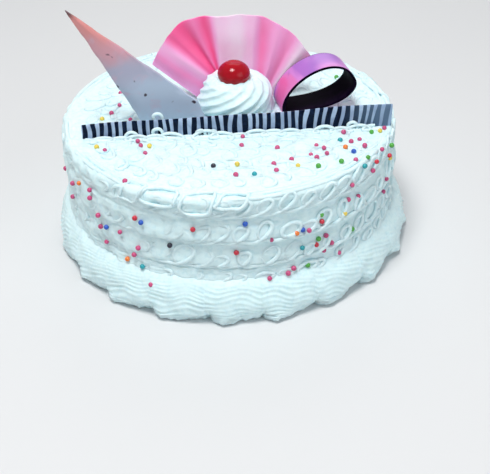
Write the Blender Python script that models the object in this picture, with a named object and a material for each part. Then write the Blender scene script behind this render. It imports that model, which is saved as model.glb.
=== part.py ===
import random
from math import copysign, cos, exp, floor, hypot, pi, radians, sin

import bmesh
import bpy
from mathutils import Vector

# Cream cake: a round cake in piped cream, with a fan, a shard, a curl and a striped strip of chocolate.
# Metres, +Z up. The origin is the middle of the underside. The front is -Y.
# An angle round the cake is counted from the front towards +X.

GAP = 0.0003                    # left between pieces that touch

# Cream coat
CAKE_HEIGHT = 0.077
WALL_RADIUS = 0.0980            # in the groove between two piped rows
LIP_RADIUS = 0.1010             # at the lower lip of a piped row
RIM_RADIUS = 0.0998
ROW_FEET = (0.0655, 0.0496, 0.0340, 0.0256)
LIP_STEP = 0.0008               # half the height of the step under a lip
LIP_BELLY = 0.0036              # height above its foot where a row starts to slope back
ROW_TOP = 0.0010                # how far under the next lip a row ends
RIM_ROUND = (0.0034, 0.0030)    # across and down
LOOPS_ROUND = 48                # piped loops in one row
SCALLOP = 0.0007
SCALLOP_BELLY = -0.6            # the scallops above a lip, in parts of those on it
SCALLOP_RIM = 0.4               # the same under the rim
SCALLOP_DROP = 0.6              # how far a scallop hangs, for each part that it stands out

# Loops of cream that lie on the top
TOP_LOOPS = 13
TOP_LOOP_RADIUS = 0.0052
TOP_LOOP_CREAM = 0.0013         # half the thickness of the cream line
TOP_LOOP_RING = 0.0890          # where they lie round the edge of the top
TOP_LOOP_STAGGER = 0.0040       # every second loop lies this much further in
TOP_LOOP_SLIP = (0.25, 2.3)     # how far a loop is off its even place, in parts of the spacing, and how often
TOP_LOOP_SIDES = (9, 4)         # round the loop and round the line of cream
TOPPING_PROUD = 0.0003          # how far the middle of a topping lies above the cream

# Sprinkles: middle angle, angle spread, middle height, height spread, how many
SPRINKLE_RADIUS = 0.0015
SPRINKLE_SPACING = 0.0051
SPRINKLE_SEED = 11
SPRINKLE_LOWEST = 0.0285
SPRINKLE_HIGHEST = 0.0730
SPRINKLE_RIM = 0.0920           # none lies further out on the top
SPRINKLE_PATCHES = (
    (-48, 11, 0.062, 0.008, 7),
    (-33, 9, 0.048, 0.011, 7),
    (-8, 14, 0.050, 0.012, 5),
    (20, 8, 0.037, 0.008, 7),
    (33, 9, 0.047, 0.011, 11),
    (50, 10, 0.058, 0.010, 9),
    (100, 26, 0.050, 0.016, 5),
    (160, 28, 0.052, 0.016, 5),
    (-120, 26, 0.050, 0.016, 5),
)
# The same on the top: middle x, middle y, spread, how many
TOP_PATCHES = (
    (-0.056, -0.052, 0.011, 3),
    (-0.058, 0.006, 0.012, 3),
    (0.026, -0.062, 0.013, 3),
    (0.056, -0.055, 0.011, 6),
    (0.074, 0.030, 0.010, 2),
    (-0.030, 0.062, 0.016, 3),
)

# Border of piped shells round the foot
SHELLS = 21
BORDER_INNER = 0.0985
SHELL_PROUD = 0.0133            # how far a shell's head stands out from the border's inner wall
SHELL_HEIGHT = 0.0245
SHELL_BELLY = 0.0070            # height of the widest place
SHELL_UNDER = radians(38)       # the section runs this far under its widest place
SHELL_NECK = 0.36               # size of the section where a head starts, of the widest
SHELL_SHOULDER = 0.62           # the same just after it
SHELL_TAIL = 0.26               # size of the tail
SHELL_WIDEST = 0.30             # share of the length where a shell is widest
SHELL_BLUNT = 2.6               # how blunt the head is
SHELL_BOW = 0.65                # how much of the fall from head to tail comes late
SHELL_STATIONS = (0.0, 0.035, 0.11, 0.21, 0.36, 0.54, 0.72, 0.90)
LEAST_PROUD = 0.25              # part of how far it stands out that every section keeps
LEAST_HEIGHT = 0.70             # part of its height that every section keeps
SHELL_RIBS = 5
RIB_DEPTH = 0.085
SHELL_LARGER = 0.14             # part by which the shells on the right stand out more
SHELL_LEAD = radians(8.9)       # how far before the front a shell starts

# Rosette under the cherry
ROSETTE_AT = (0.0050, 0.0030)
ROSETTE_RADIUS = 0.0226
ROSETTE_HEIGHT = 0.0202
ROSETTE_RIDGES = 13
ROSETTE_RIDGE_DEPTH = 0.060
ROSETTE_TWIST = radians(150)
# Share of the radius and of the height, from the foot to the middle of the top
ROSETTE_OUTLINE = (
    (0.95, 0.0), (1.0, 0.12), (1.0, 0.36), (0.97, 0.60),
    (0.90, 0.80), (0.77, 0.94), (0.60, 1.0), (0.34, 0.98),
)
FOOT_RIDGE = 0.3                # depth of the ridges at the foot, of that above

# Cherry
CHERRY_AT = (0.0046, 0.0022, 0.0999)
CHERRY_RADIUS = 0.0097
CHERRY_SQUASH = 0.82
DIMPLE_DEPTH = 0.0010
DIMPLE_RADIUS = 0.0022
POCKET_GAP = 0.0010             # between the cream and the cherry or the fan

# Pleated fan behind the rosette
FAN_CENTRE = (0.0080, 0.0790)   # x and z of the middle of its round edge
FAN_Y = 0.0170
FAN_LEAN = 0.12
FAN_WRAP = 0.0060               # how far the two sides come forward
FAN_WRAP_WIDTH = 0.055
FAN_RADIUS = 0.0493
FAN_LEFT_RADIUS = 0.0572
FAN_WIDENS = (98, 130)          # between these angles the left radius takes over
FAN_THICK = 0.0016
FAN_INNER_DEPTH = 0.35          # depth of the pleats at the gather, of that at the edge
FAN_BEHIND = 0.060              # y of the back of what is cut away behind the fan
PLEAT_COLUMNS = 2
FAN_RISES = (0, 1, 1.25, 1.5, 1.75, 2)
# Pleats from left to right: angle at the round edge, inner x and z, how far forward at the edge
FAN_PLEATS = (
    (156, -0.0180, 0.0785, 0.0006),
    (150, -0.0130, 0.0850, 0.0018),
    (144, -0.0100, 0.0900, 0.0022),
    (136, -0.0080, 0.0925, 0.0000),
    (127, -0.0068, 0.0940, -0.0020),
    (120, -0.0062, 0.0950, -0.0002),
    (113, -0.0056, 0.0955, -0.0018),
    (104, -0.0030, 0.0955, 0.0010),
    (90, 0.0080, 0.0945, 0.0016),
    (80, 0.0150, 0.0930, 0.0010),
    (72, 0.0205, 0.0905, -0.0016),
    (60, 0.0235, 0.0880, 0.0010),
    (48, 0.0262, 0.0855, -0.0008),
    (38, 0.0285, 0.0835, 0.0018),
    (29, 0.0310, 0.0815, 0.0000),
)

# Marbled shard: corners in x and z
SHARD_Y = -0.0140
SHARD_THICK = 0.0020
SHARD_CORNERS = ((-0.0865, 0.1490), (-0.0498, None), (-0.0122, None), (-0.0172, 0.0914))
SHARD_BEVEL = 0.0005

# Curl: a band bent round so that its two ends meet in a point
CURL_TIP = (0.0332, 0.0774)     # x and z
CURL_TILT = radians(26.5)
CURL_LENGTH = 0.0475
CURL_UPPER = (0.0180, 0.80, 0.35)   # fatness, how blunt its round end is, how pointed its tip is
CURL_LOWER = (0.0112, 1.00, 1.00)
CURL_THICK = 0.0020
CURL_CLOSER = (1.7, 0.7)        # how far the upper and lower halves come in on the inside, in thicknesses
CURL_ENDS = (2, 1)              # the same at the tip and at the round end
CURL_NEAR_Y = -0.0090
CURL_WIDTH = 0.0195
CURL_SKEW = -0.0040             # the far edge lies this far along x from the near edge
CURL_STEPS = 30

# Striped strip that stands on edge
STRIP_LEFT = (-0.0840, -0.0295)
STRIP_RIGHT = (0.0945, -0.0262)
STRIP_TOP_LEFT = 0.0862
STRIP_TOP_RIGHT = 0.0912
STRIP_THICK = 0.0016
STRIP_WAVE = (0.0006, 9)        # how far it bends to and fro, and how often
STRIP_RIPPLE = (0.0003, 17)     # the same for its top edge
STRIP_STEPS = 12


def around(radius, angle, height):
    """A point at a radius and an angle round the cake."""
    return Vector((radius * sin(angle), -radius * cos(angle), height))


def smooth(low, high, value):
    t = min(1.0, max(0.0, (value - low) / (high - low)))
    return t * t * (3 - 2 * t)


def make_material(name, colour, roughness, metallic=0.0):
    material = bpy.data.materials.new(name)
    material.use_nodes = True
    shader = material.node_tree.nodes["Principled BSDF"]
    shader.inputs["Base Color"].default_value = (*colour, 1.0)
    shader.inputs["Roughness"].default_value = roughness
    shader.inputs["Metallic"].default_value = metallic
    return material


def make_object(name, bm, material=None, sharp_angle=40):
    bmesh.ops.recalc_face_normals(bm, faces=bm.faces)
    mesh = bpy.data.meshes.new(name)
    bm.to_mesh(mesh)
    bm.free()
    mesh.shade_smooth()
    mesh.set_sharp_from_angle(angle=radians(sharp_angle))
    thing = bpy.data.objects.new(name, mesh)
    bpy.context.scene.collection.objects.link(thing)
    if material:
        mesh.materials.append(material)
    return thing


def skin_rings(bm, rings, closed=False):
    """Joins rings of points with faces. The ends are capped unless the last ring meets the first."""
    loops = [[bm.verts.new(point) for point in ring] for ring in rings]
    count = len(loops[0])
    pairs = list(zip(loops, loops[1:]))
    if closed:
        pairs.append((loops[-1], loops[0]))
    for lower, upper in pairs:
        for i in range(count):
            j = (i + 1) % count
            bm.faces.new((lower[i], lower[j], upper[j], upper[i]))
    if not closed:
        for loop in (loops[0], loops[-1]):
            middle = bm.verts.new(sum((v.co for v in loop), Vector()) / count)
            for i in range(count):
                bm.faces.new((loop[i], loop[(i + 1) % count], middle))


def apply_modifiers(thing):
    """Leaves the object with the mesh that its modifiers give."""
    evaluated = thing.evaluated_get(bpy.context.evaluated_depsgraph_get())
    mesh = bpy.data.meshes.new_from_object(evaluated)
    thing.modifiers.clear()
    old = thing.data
    thing.data = mesh
    bpy.data.meshes.remove(old)


def cut_away(thing, cutter):
    modifier = thing.modifiers.new("cut", "BOOLEAN")
    modifier.operation = "DIFFERENCE"
    modifier.solver = "EXACT"
    modifier.object = cutter
    apply_modifiers(thing)
    bpy.data.objects.remove(cutter, do_unlink=True)


def keep_largest_shell(thing):
    """Fills a hollow that joining sealed, and drops a loose scrap."""
    bm = bmesh.new()
    bm.from_mesh(thing.data)
    unseen = set(bm.verts)
    shells = []
    while unseen:
        shell = set()
        edge_of_search = [unseen.pop()]
        while edge_of_search:
            vert = edge_of_search.pop()
            shell.add(vert)
            for edge in vert.link_edges:
                other = edge.other_vert(vert)
                if other in unseen:
                    unseen.discard(other)
                    edge_of_search.append(other)
        shells.append(shell)
    largest = max(shells, key=len)
    scraps = [vert for shell in shells if shell is not largest for vert in shell]
    bmesh.ops.delete(bm, geom=scraps, context="VERTS")
    bm.to_mesh(thing.data)
    bm.free()


def fuse(thing, toppings):
    """Joins the toppings to the thing with one union."""
    collection = bpy.data.collections.new("toppings")
    bpy.context.scene.collection.children.link(collection)
    for topping in toppings:
        bpy.context.scene.collection.objects.unlink(topping)
        collection.objects.link(topping)
    modifier = thing.modifiers.new("fuse", "BOOLEAN")
    modifier.operation = "UNION"
    modifier.solver = "EXACT"
    modifier.operand_type = "COLLECTION"
    modifier.collection = collection
    apply_modifiers(thing)
    keep_largest_shell(thing)
    for topping in toppings:
        bpy.data.objects.remove(topping, do_unlink=True)
    bpy.data.collections.remove(collection)


def coat_profile():
    """Stations up the side: radius, height and how much the loops scallop it."""
    stations = [(WALL_RADIUS, 0.0, 0.0), (WALL_RADIUS, ROW_FEET[-1] - LIP_STEP, 0.0)]
    tops = ROW_FEET[:-1][::-1] + (CAKE_HEIGHT,)
    for foot, top in zip(ROW_FEET[::-1], tops):
        stations.append((LIP_RADIUS, foot + LIP_STEP, 1.0))
        stations.append((LIP_RADIUS - LIP_STEP / 2, foot + LIP_BELLY, SCALLOP_BELLY))
        if top < CAKE_HEIGHT:
            stations.append((WALL_RADIUS, top - ROW_TOP, 0.0))
    stations.append((RIM_RADIUS, CAKE_HEIGHT - RIM_ROUND[1], SCALLOP_RIM))
    stations.append((RIM_RADIUS - RIM_ROUND[0], CAKE_HEIGHT, 0.0))
    return stations


def make_coat(material):
    bm = bmesh.new()
    rings = []
    steps = 2 * LOOPS_ROUND
    for radius, height, scallop in coat_profile():
        ring = []
        for step in range(steps):
            angle = 2 * pi * step / steps
            wave = scallop * SCALLOP * cos(pi * step)
            ring.append(around(radius + wave, angle, height - SCALLOP_DROP * wave))
        rings.append(ring)
    skin_rings(bm, rings)
    return make_object("cake_body", bm, material)


def side_radius(height):
    """Radius of the coat's side at a height."""
    stations = coat_profile()
    for (low_r, low_z, _), (high_r, high_z, _) in zip(stations, stations[1:]):
        if low_z <= height <= high_z:
            share = (height - low_z) / (high_z - low_z)
            return low_r + share * (high_r - low_r)
    return RIM_RADIUS


def keep_out(x, y, room):
    """True where a topping of this half width would meet another piece that stands on the top."""
    share = (x - STRIP_LEFT[0]) / (STRIP_RIGHT[0] - STRIP_LEFT[0])
    strip_y = STRIP_LEFT[1] + share * (STRIP_RIGHT[1] - STRIP_LEFT[1])
    if abs(y - strip_y) < room + STRIP_THICK:
        return True
    if hypot(x - ROSETTE_AT[0], y - ROSETTE_AT[1]) < ROSETTE_RADIUS * (1 + ROSETTE_RIDGE_DEPTH) + room:
        return True
    shard_left, shard_right = SHARD_CORNERS[1][0], SHARD_CORNERS[2][0]
    fan_left, fan_right = FAN_PLEATS[0][1], FAN_PLEATS[-1][1]
    curl_right = CURL_TIP[0] + CURL_LENGTH * cos(CURL_TILT)
    boxes = (
        (shard_left, shard_right, SHARD_Y - SHARD_THICK, SHARD_Y + SHARD_THICK),
        (fan_left, fan_right, FAN_Y - 2 * FAN_WRAP, FAN_Y + FAN_WRAP),
        (CURL_TIP[0] + CURL_SKEW, curl_right, CURL_NEAR_Y, CURL_NEAR_Y + CURL_WIDTH),
    )
    for low, high, near, far in boxes:
        if low - room < x < high + room and near - room < y < far + room:
            return True
    return False


def make_top_loops():
    loops = []
    around_loop, around_line = TOP_LOOP_SIDES
    for i in range(TOP_LOOPS):
        slip = TOP_LOOP_SLIP[0] * sin(TOP_LOOP_SLIP[1] * i)
        angle = 2 * pi * (i + 0.5 + slip) / TOP_LOOPS
        ring = TOP_LOOP_RING - TOP_LOOP_STAGGER * (i % 2)
        middle = around(ring, angle, CAKE_HEIGHT + TOPPING_PROUD)
        reach = TOP_LOOP_RADIUS + TOP_LOOP_CREAM
        if keep_out(middle.x, middle.y, reach) or ring + reach > RIM_RADIUS:
            continue
        bm = bmesh.new()
        rings = []
        for step in range(around_loop):
            turn = 2 * pi * step / around_loop
            out = Vector((cos(turn), sin(turn), 0))
            centre = middle + TOP_LOOP_RADIUS * out
            section = []
            for side in range(around_line):
                lean = 2 * pi * side / around_line
                section.append(centre + TOP_LOOP_CREAM * (cos(lean) * out + Vector((0, 0, sin(lean)))))
            rings.append(section)
        skin_rings(bm, rings, closed=True)
        loops.append(make_object(f"top_loop_{i}", bm))
    return loops


def make_sprinkles():
    draw = random.Random(SPRINKLE_SEED)
    places = []

    def add(point):
        if all((point - other).length > SPRINKLE_SPACING for other in places):
            places.append(point)

    for middle, spread, height, height_spread, count in SPRINKLE_PATCHES:
        for _ in range(count):
            angle = radians(draw.gauss(middle, spread))
            z = min(SPRINKLE_HIGHEST, max(SPRINKLE_LOWEST, draw.gauss(height, height_spread)))
            add(around(side_radius(z) + TOPPING_PROUD, angle, z))
    for x, y, spread, count in TOP_PATCHES:
        for _ in range(count):
            point = Vector((draw.gauss(x, spread), draw.gauss(y, spread), CAKE_HEIGHT + TOPPING_PROUD))
            if hypot(point.x, point.y) < SPRINKLE_RIM and not keep_out(point.x, point.y, SPRINKLE_RADIUS):
                add(point)
    sprinkles = []
    for i, place in enumerate(places):
        bm = bmesh.new()
        bmesh.ops.create_icosphere(bm, subdivisions=1, radius=SPRINKLE_RADIUS)
        bmesh.ops.rotate(bm, verts=bm.verts, cent=(0, 0, 0), matrix=turn_matrix(draw))
        bmesh.ops.translate(bm, verts=bm.verts, vec=place)
        sprinkles.append(make_object(f"sprinkle_{i}", bm))
    return sprinkles


def turn_matrix(draw):
    axis = Vector((draw.gauss(0, 1), draw.gauss(0, 1), draw.gauss(0, 1))).normalized()
    return axis.to_track_quat("Z", "Y").to_matrix()


def shell_start(number):
    """Angle at which a shell's head starts."""
    return 2 * pi * number / SHELLS - SHELL_LEAD


def shell_size(share):
    """Size of a shell's section along it, from its head at 0 to its tail at 1."""
    if share == 0:
        return SHELL_NECK
    if share < SHELL_WIDEST:
        rise = (SHELL_WIDEST - share) / SHELL_WIDEST
        return SHELL_SHOULDER + (1 - SHELL_SHOULDER) * (1 - rise ** SHELL_BLUNT) ** 0.5
    fall = (share - SHELL_WIDEST) / (1 - SHELL_WIDEST)
    return 1 - (1 - SHELL_TAIL) * ((1 - SHELL_BOW) * fall + SHELL_BOW * fall * fall)


def shell_section(size, angle):
    """Points round one section, from the border's inner wall over the top to the foot outside."""
    proud = SHELL_PROUD * (LEAST_PROUD + (1 - LEAST_PROUD) * size)
    proud *= 1 + SHELL_LARGER * smooth(0.5, 1, sin(angle))
    crown = SHELL_HEIGHT * (LEAST_HEIGHT + (1 - LEAST_HEIGHT) * size) - SHELL_BELLY
    points = 2 * SHELL_RIBS + 1
    section = [around(BORDER_INNER, angle, 0)]
    for i in range(points):
        rib = 1 - RIB_DEPTH * cos(pi * i) * size
        lean = pi / 2 - (pi / 2 + SHELL_UNDER) * i / (points - 1)
        if lean >= 0:
            up = SHELL_BELLY + crown * sin(lean) * (rib if i else 1)
        else:
            up = SHELL_BELLY * (1 + sin(lean) / sin(SHELL_UNDER))
        section.append(around(BORDER_INNER + proud * cos(lean) * rib, angle, max(0.0, up)))
    return section


def make_border(material):
    bm = bmesh.new()
    rings = []
    for number in range(SHELLS):
        start = shell_start(number)
        pitch = shell_start(number + 1) - start
        rings += [shell_section(shell_size(share), start + share * pitch) for share in SHELL_STATIONS]
    skin_rings(bm, rings, closed=True)
    return make_object("shell_border", bm, material)


def make_rosette(material):
    bm = bmesh.new()
    foot = CAKE_HEIGHT + GAP
    steps = 3 * ROSETTE_RIDGES
    rings = []
    for reach, rise in ROSETTE_OUTLINE:
        ring = []
        for step in range(steps):
            angle = 2 * pi * step / steps
            ridge = ROSETTE_RIDGE_DEPTH * cos(ROSETTE_RIDGES * angle) * (1 if rise else FOOT_RIDGE)
            radius = ROSETTE_RADIUS * reach * (1 + ridge)
            turned = angle + ROSETTE_TWIST * rise
            x = ROSETTE_AT[0] + radius * cos(turned)
            y = ROSETTE_AT[1] + radius * sin(turned)
            ring.append(Vector((x, y, foot + ROSETTE_HEIGHT * rise)))
        rings.append(ring)
    skin_rings(bm, rings)
    return make_object("cream_rosette", bm, material, 60)


def make_ball(radius, subdivisions):
    """A squashed ball at the cherry's place."""
    bm = bmesh.new()
    bmesh.ops.create_icosphere(bm, subdivisions=subdivisions, radius=radius)
    bmesh.ops.scale(bm, verts=bm.verts, vec=(1, 1, CHERRY_SQUASH))
    bmesh.ops.translate(bm, verts=bm.verts, vec=CHERRY_AT)
    return bm


def make_cherry(material):
    bm = make_ball(CHERRY_RADIUS, 3)
    for vert in bm.verts:
        away = hypot(vert.co.x - CHERRY_AT[0], vert.co.y - CHERRY_AT[1])
        if vert.co.z > CHERRY_AT[2]:
            vert.co.z -= DIMPLE_DEPTH * exp(-(away / DIMPLE_RADIUS) ** 2)
    return make_object("cherry", bm, material)


def fan_pleat(place):
    """Angle, inner x and z and forward depth at a place along the pleats, smoothly between them."""
    index = min(int(floor(place)), len(FAN_PLEATS) - 2)
    share = place - index
    low, high = FAN_PLEATS[index], FAN_PLEATS[index + 1]
    eased = share * share * (3 - 2 * share)
    line = [a + share * (b - a) for a, b in zip(low, high)]
    line[3] = low[3] + eased * (high[3] - low[3])
    return line


def fan_point(place, rise, foot):
    """A point on the fan's middle sheet: rise is 0 at the foot, 1 at the gather, up to 2 at the edge."""
    angle, inner_x, inner_z, depth = fan_pleat(place)
    turn = radians(angle)
    reach = FAN_RADIUS + (FAN_LEFT_RADIUS - FAN_RADIUS) * smooth(*FAN_WIDENS, angle)
    edge_x = FAN_CENTRE[0] + reach * cos(turn)
    edge_z = FAN_CENTRE[1] + reach * sin(turn)
    if rise <= 1:
        x = inner_x
        z = foot + rise * (inner_z - foot)
        forward = FAN_INNER_DEPTH * depth * rise
    else:
        out = rise - 1
        x = inner_x + out * (edge_x - inner_x)
        z = inner_z + out * (edge_z - inner_z)
        forward = depth * (FAN_INNER_DEPTH + (1 - FAN_INNER_DEPTH) * out)
    wrap = FAN_WRAP * ((x - FAN_CENTRE[0]) / FAN_WRAP_WIDTH) ** 2
    y = FAN_Y + FAN_LEAN * (z - FAN_CENTRE[1]) - wrap - forward
    return Vector((x, y, z))


def fan_solid(front, back, foot):
    """The sheet between two distances from its middle, or back to a plane where back is None."""
    bm = bmesh.new()
    rings = []
    for column in range(PLEAT_COLUMNS * (len(FAN_PLEATS) - 1) + 1):
        points = [fan_point(column / PLEAT_COLUMNS, rise, foot) for rise in FAN_RISES]
        near = [point - Vector((0, front, 0)) for point in points]
        if back is None:
            far = [Vector((point.x, FAN_BEHIND, point.z)) for point in points]
        else:
            far = [point + Vector((0, back, 0)) for point in points]
        rings.append(near + far[::-1])
    loops = [[bm.verts.new(point) for point in ring] for ring in rings]
    count = len(loops[0])
    for lower, upper in zip(loops, loops[1:]):
        for i in range(count):
            j = (i + 1) % count
            bm.faces.new((lower[i], lower[j], upper[j], upper[i]))
    half = count // 2
    for loop in (loops[0], loops[-1]):
        for i in range(half - 1):
            bm.faces.new((loop[i], loop[i + 1], loop[count - 2 - i], loop[count - 1 - i]))
    return bm


def make_fan(material):
    bm = fan_solid(FAN_THICK / 2, FAN_THICK / 2, CAKE_HEIGHT + GAP)
    return make_object("pink_fan", bm, material, 60)


def make_shard(material):
    bm = bmesh.new()
    foot = CAKE_HEIGHT + GAP
    corners = [(x, foot if z is None else z) for x, z in SHARD_CORNERS]
    rings = []
    for side in (-1, 1):
        y = SHARD_Y + side * SHARD_THICK / 2
        rings.append([bm.verts.new((x, y, z)) for x, z in corners])
    count = len(corners)
    for i in range(count):
        j = (i + 1) % count
        bm.faces.new((rings[0][i], rings[0][j], rings[1][j], rings[1][i]))
    bm.faces.new(rings[0])
    bm.faces.new(rings[1][::-1])
    bmesh.ops.recalc_face_normals(bm, faces=bm.faces)
    upper = [edge for edge in bm.edges if max(v.co.z for v in edge.verts) > foot + SHARD_BEVEL]
    bmesh.ops.bevel(bm, geom=upper, offset=SHARD_BEVEL, segments=1, affect="EDGES")
    return make_object("marbled_shard", bm, material, 30)


def curl_outline(inset):
    """Outline of the loop in x and z, with a point at its lower end. inset makes it smaller on every side."""
    points = []
    tip_in, end_in = (part * inset for part in CURL_ENDS)
    for step in range(CURL_STEPS):
        turn = 2 * pi * (step + 0.5) / CURL_STEPS
        upper = turn < pi
        fatness, blunt, pointed = CURL_UPPER if upper else CURL_LOWER
        fatness -= inset * CURL_CLOSER[0 if upper else 1]
        across = fatness * copysign(abs(sin(turn)) ** blunt, sin(turn)) * sin(turn / 2) ** pointed
        across += inset * (1 + cos(turn)) / 2
        along = tip_in + (CURL_LENGTH - tip_in - end_in) / 2 * (1 - cos(turn))
        x = CURL_TIP[0] + along * cos(CURL_TILT) - across * sin(CURL_TILT)
        z = CURL_TIP[1] + along * sin(CURL_TILT) + across * cos(CURL_TILT)
        points.append((x, z))
    return points


def make_curl(material):
    bm = bmesh.new()
    rings = []
    for outer, inner in zip(curl_outline(0), curl_outline(CURL_THICK)):
        section = []
        for (x, z), across in ((outer, 0), (outer, 1), (inner, 1), (inner, 0)):
            section.append(Vector((x + CURL_SKEW * across, CURL_NEAR_Y + CURL_WIDTH * across, z)))
        rings.append(section)
    skin_rings(bm, rings, closed=True)
    return make_object("curl_band", bm, material, 35)


def make_strip(material):
    bm = bmesh.new()
    rings = []
    half = STRIP_THICK / 2
    foot = CAKE_HEIGHT + GAP
    for step in range(STRIP_STEPS + 1):
        share = step / STRIP_STEPS
        x = STRIP_LEFT[0] + share * (STRIP_RIGHT[0] - STRIP_LEFT[0])
        y = STRIP_LEFT[1] + share * (STRIP_RIGHT[1] - STRIP_LEFT[1])
        y += STRIP_WAVE[0] * sin(STRIP_WAVE[1] * share)
        top = STRIP_TOP_LEFT + share * (STRIP_TOP_RIGHT - STRIP_TOP_LEFT)
        top += STRIP_RIPPLE[0] * sin(STRIP_RIPPLE[1] * share)
        corners = ((-half, foot), (-half, top), (half, top), (half, foot))
        rings.append([Vector((x, y + aside, z)) for aside, z in corners])
    skin_rings(bm, rings)
    return make_object("striped_strip", bm, material, 30)


def build():
    for leftover in list(bpy.data.objects):
        bpy.data.objects.remove(leftover, do_unlink=True)
    cream = make_material("cream", (0.90, 0.94, 0.94), 0.45)
    red = make_material("glazed cherry", (0.42, 0.004, 0.012), 0.15)
    pink = make_material("pink chocolate", (0.90, 0.35, 0.58), 0.35)
    marble = make_material("marbled white chocolate", (0.50, 0.42, 0.52), 0.35)
    magenta = make_material("magenta marbled chocolate", (0.62, 0.16, 0.48), 0.30)
    striped = make_material("striped dark and white chocolate", (0.15, 0.19, 0.28), 0.35)

    coat = make_coat(cream)
    fuse(coat, make_top_loops() + make_sprinkles())
    make_border(cream)

    rosette = make_rosette(cream)
    cut_away(rosette, make_object("cherry_pocket", make_ball(CHERRY_RADIUS + POCKET_GAP, 2)))
    behind_fan = fan_solid(FAN_THICK / 2 + POCKET_GAP, None, CAKE_HEIGHT - ROSETTE_HEIGHT)
    cut_away(rosette, make_object("behind_fan", behind_fan))

    make_cherry(red)
    make_fan(pink)
    make_shard(marble)
    make_curl(magenta)
    make_strip(striped)


build()
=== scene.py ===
import random
from math import copysign, cos, exp, floor, hypot, pi, radians, sin

import bmesh
import bpy
from mathutils import Matrix, Vector, noise


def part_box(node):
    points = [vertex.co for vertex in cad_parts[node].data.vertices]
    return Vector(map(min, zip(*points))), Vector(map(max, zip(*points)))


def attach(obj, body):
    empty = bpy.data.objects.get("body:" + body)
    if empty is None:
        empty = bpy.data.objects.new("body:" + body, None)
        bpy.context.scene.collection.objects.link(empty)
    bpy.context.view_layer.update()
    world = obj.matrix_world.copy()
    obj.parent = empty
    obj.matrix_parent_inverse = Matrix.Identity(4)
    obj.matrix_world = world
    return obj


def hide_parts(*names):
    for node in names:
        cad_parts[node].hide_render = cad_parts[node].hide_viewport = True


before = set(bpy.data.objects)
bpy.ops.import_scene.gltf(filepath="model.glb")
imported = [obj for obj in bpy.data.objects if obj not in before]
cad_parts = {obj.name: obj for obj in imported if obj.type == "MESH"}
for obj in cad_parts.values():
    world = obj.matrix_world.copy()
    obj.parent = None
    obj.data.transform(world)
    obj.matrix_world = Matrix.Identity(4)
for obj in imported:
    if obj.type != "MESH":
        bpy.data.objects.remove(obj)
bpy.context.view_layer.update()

# Looks of the cream cake. Metres, +Z up, front at -Y.
# An angle round the cake is counted from the front towards +X.

gap = 0.0003
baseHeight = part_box("marbled_shard")[0].z       # where the decorations start
topHeight = baseHeight - gap                   # flat top of the cream coat


# Small helpers

def around(radius, angle, height):
    return Vector((radius * sin(angle), -radius * cos(angle), height))


def fromFront(angle):
    # Degrees from the front, from -180 to 180.
    return (angle * 180 / pi + 180) % 360 - 180


def smooth(low, high, value):
    t = min(1.0, max(0.0, (value - low) / (high - low)))
    return t * t * (3 - 2 * t)


def mix(a, b, share):
    return a + share * (b - a)


def signedPower(value, power):
    return copysign(abs(value) ** power, value)


def uneven(x, y=0.0, z=0.0):
    # Smooth noise, from about -1 to 1.
    return noise.noise(Vector((x, y, z)))


def wander(turn, seed, waves=((2, 1.0), (5, 0.6), (9, 0.4))):
    # A smooth wobble round the cake, about -1 to 1, that meets itself after a full turn.
    return sum(size * sin(count * turn + seed * (count + 1.7)) for count, size in waves) / 2


# Mesh helpers

def newPiece(name, mesh):
    piece = bpy.data.objects.new(name, mesh)
    bpy.context.scene.collection.objects.link(piece)
    return piece


def makePiece(name, points, faces, materials, sharp=None, closed=True):
    # A closed piece is smooth, but for edges over the sharp angle in degrees, and faces outwards.
    mesh = bpy.data.meshes.new(name)
    mesh.from_pydata([tuple(point) for point in points], [], faces)
    mesh.validate()
    for material in materials:
        mesh.materials.append(material)
    if closed:
        mesh.shade_smooth()
        bm = bmesh.new()
        bm.from_mesh(mesh)
        bmesh.ops.recalc_face_normals(bm, faces=bm.faces)
        bm.to_mesh(mesh)
        bm.free()
    if sharp:
        mesh.set_sharp_from_angle(angle=radians(sharp))
    return newPiece(name, mesh)


def gridFaces(rows, columns, wrapColumns=False, wrapRows=False):
    faces = []
    for row in range(rows if wrapRows else rows - 1):
        here, ahead = row * columns, (row + 1) % rows * columns
        for j in range(columns if wrapColumns else columns - 1):
            beside = (j + 1) % columns
            faces.append((here + j, here + beside, ahead + beside, ahead + j))
    return faces


def closeRing(points, faces, first, count, middle):
    # Closes the ring of points that starts at first, with triangles to its middle.
    points.append(Vector(middle))
    faces.extend((first + j, first + (j + 1) % count, len(points) - 1) for j in range(count))


def finishPiece(piece, slot, *nodes):
    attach(piece, "root")
    if nodes:
        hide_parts(*nodes)
    triangles = sum(len(face.vertices) - 2 for face in piece.data.polygons)
    print(f"{piece.name}: {triangles} triangles")


# Node helpers

def join(tree, value, socket):
    if isinstance(value, bpy.types.NodeSocket):
        tree.links.new(value, socket)
    else:
        socket.default_value = value


def addNode(tree, kind, settings=None, inOrder=(), **values):
    node = tree.nodes.new(kind)
    for key, value in (settings or {}).items():
        setattr(node, key, value)
    for socket, value in zip(node.inputs, inOrder):
        join(tree, value, socket)
    for key, value in values.items():
        join(tree, value, node.inputs[key.replace("_", " ")])
    return node


def addMath(tree, operation, *values):
    return addNode(tree, "ShaderNodeMath", {"operation": operation}, values).outputs[0]


def addRange(tree, value, toRange, fromRange=(0.0, 1.0)):
    return addNode(tree, "ShaderNodeMapRange", None, (value, *fromRange, *toRange)).outputs[0]


def addRamp(tree, value, stops, mode="EASE"):
    ramp = addNode(tree, "ShaderNodeValToRGB", Fac=value)
    ramp.color_ramp.interpolation = mode
    elements = ramp.color_ramp.elements
    while len(elements) < len(stops):
        elements.new(1.0)
    for element, (where, colour) in zip(elements, stops):
        element.position = where
        element.color = (*colour, 1.0)
    return ramp.outputs["Color"]


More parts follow.
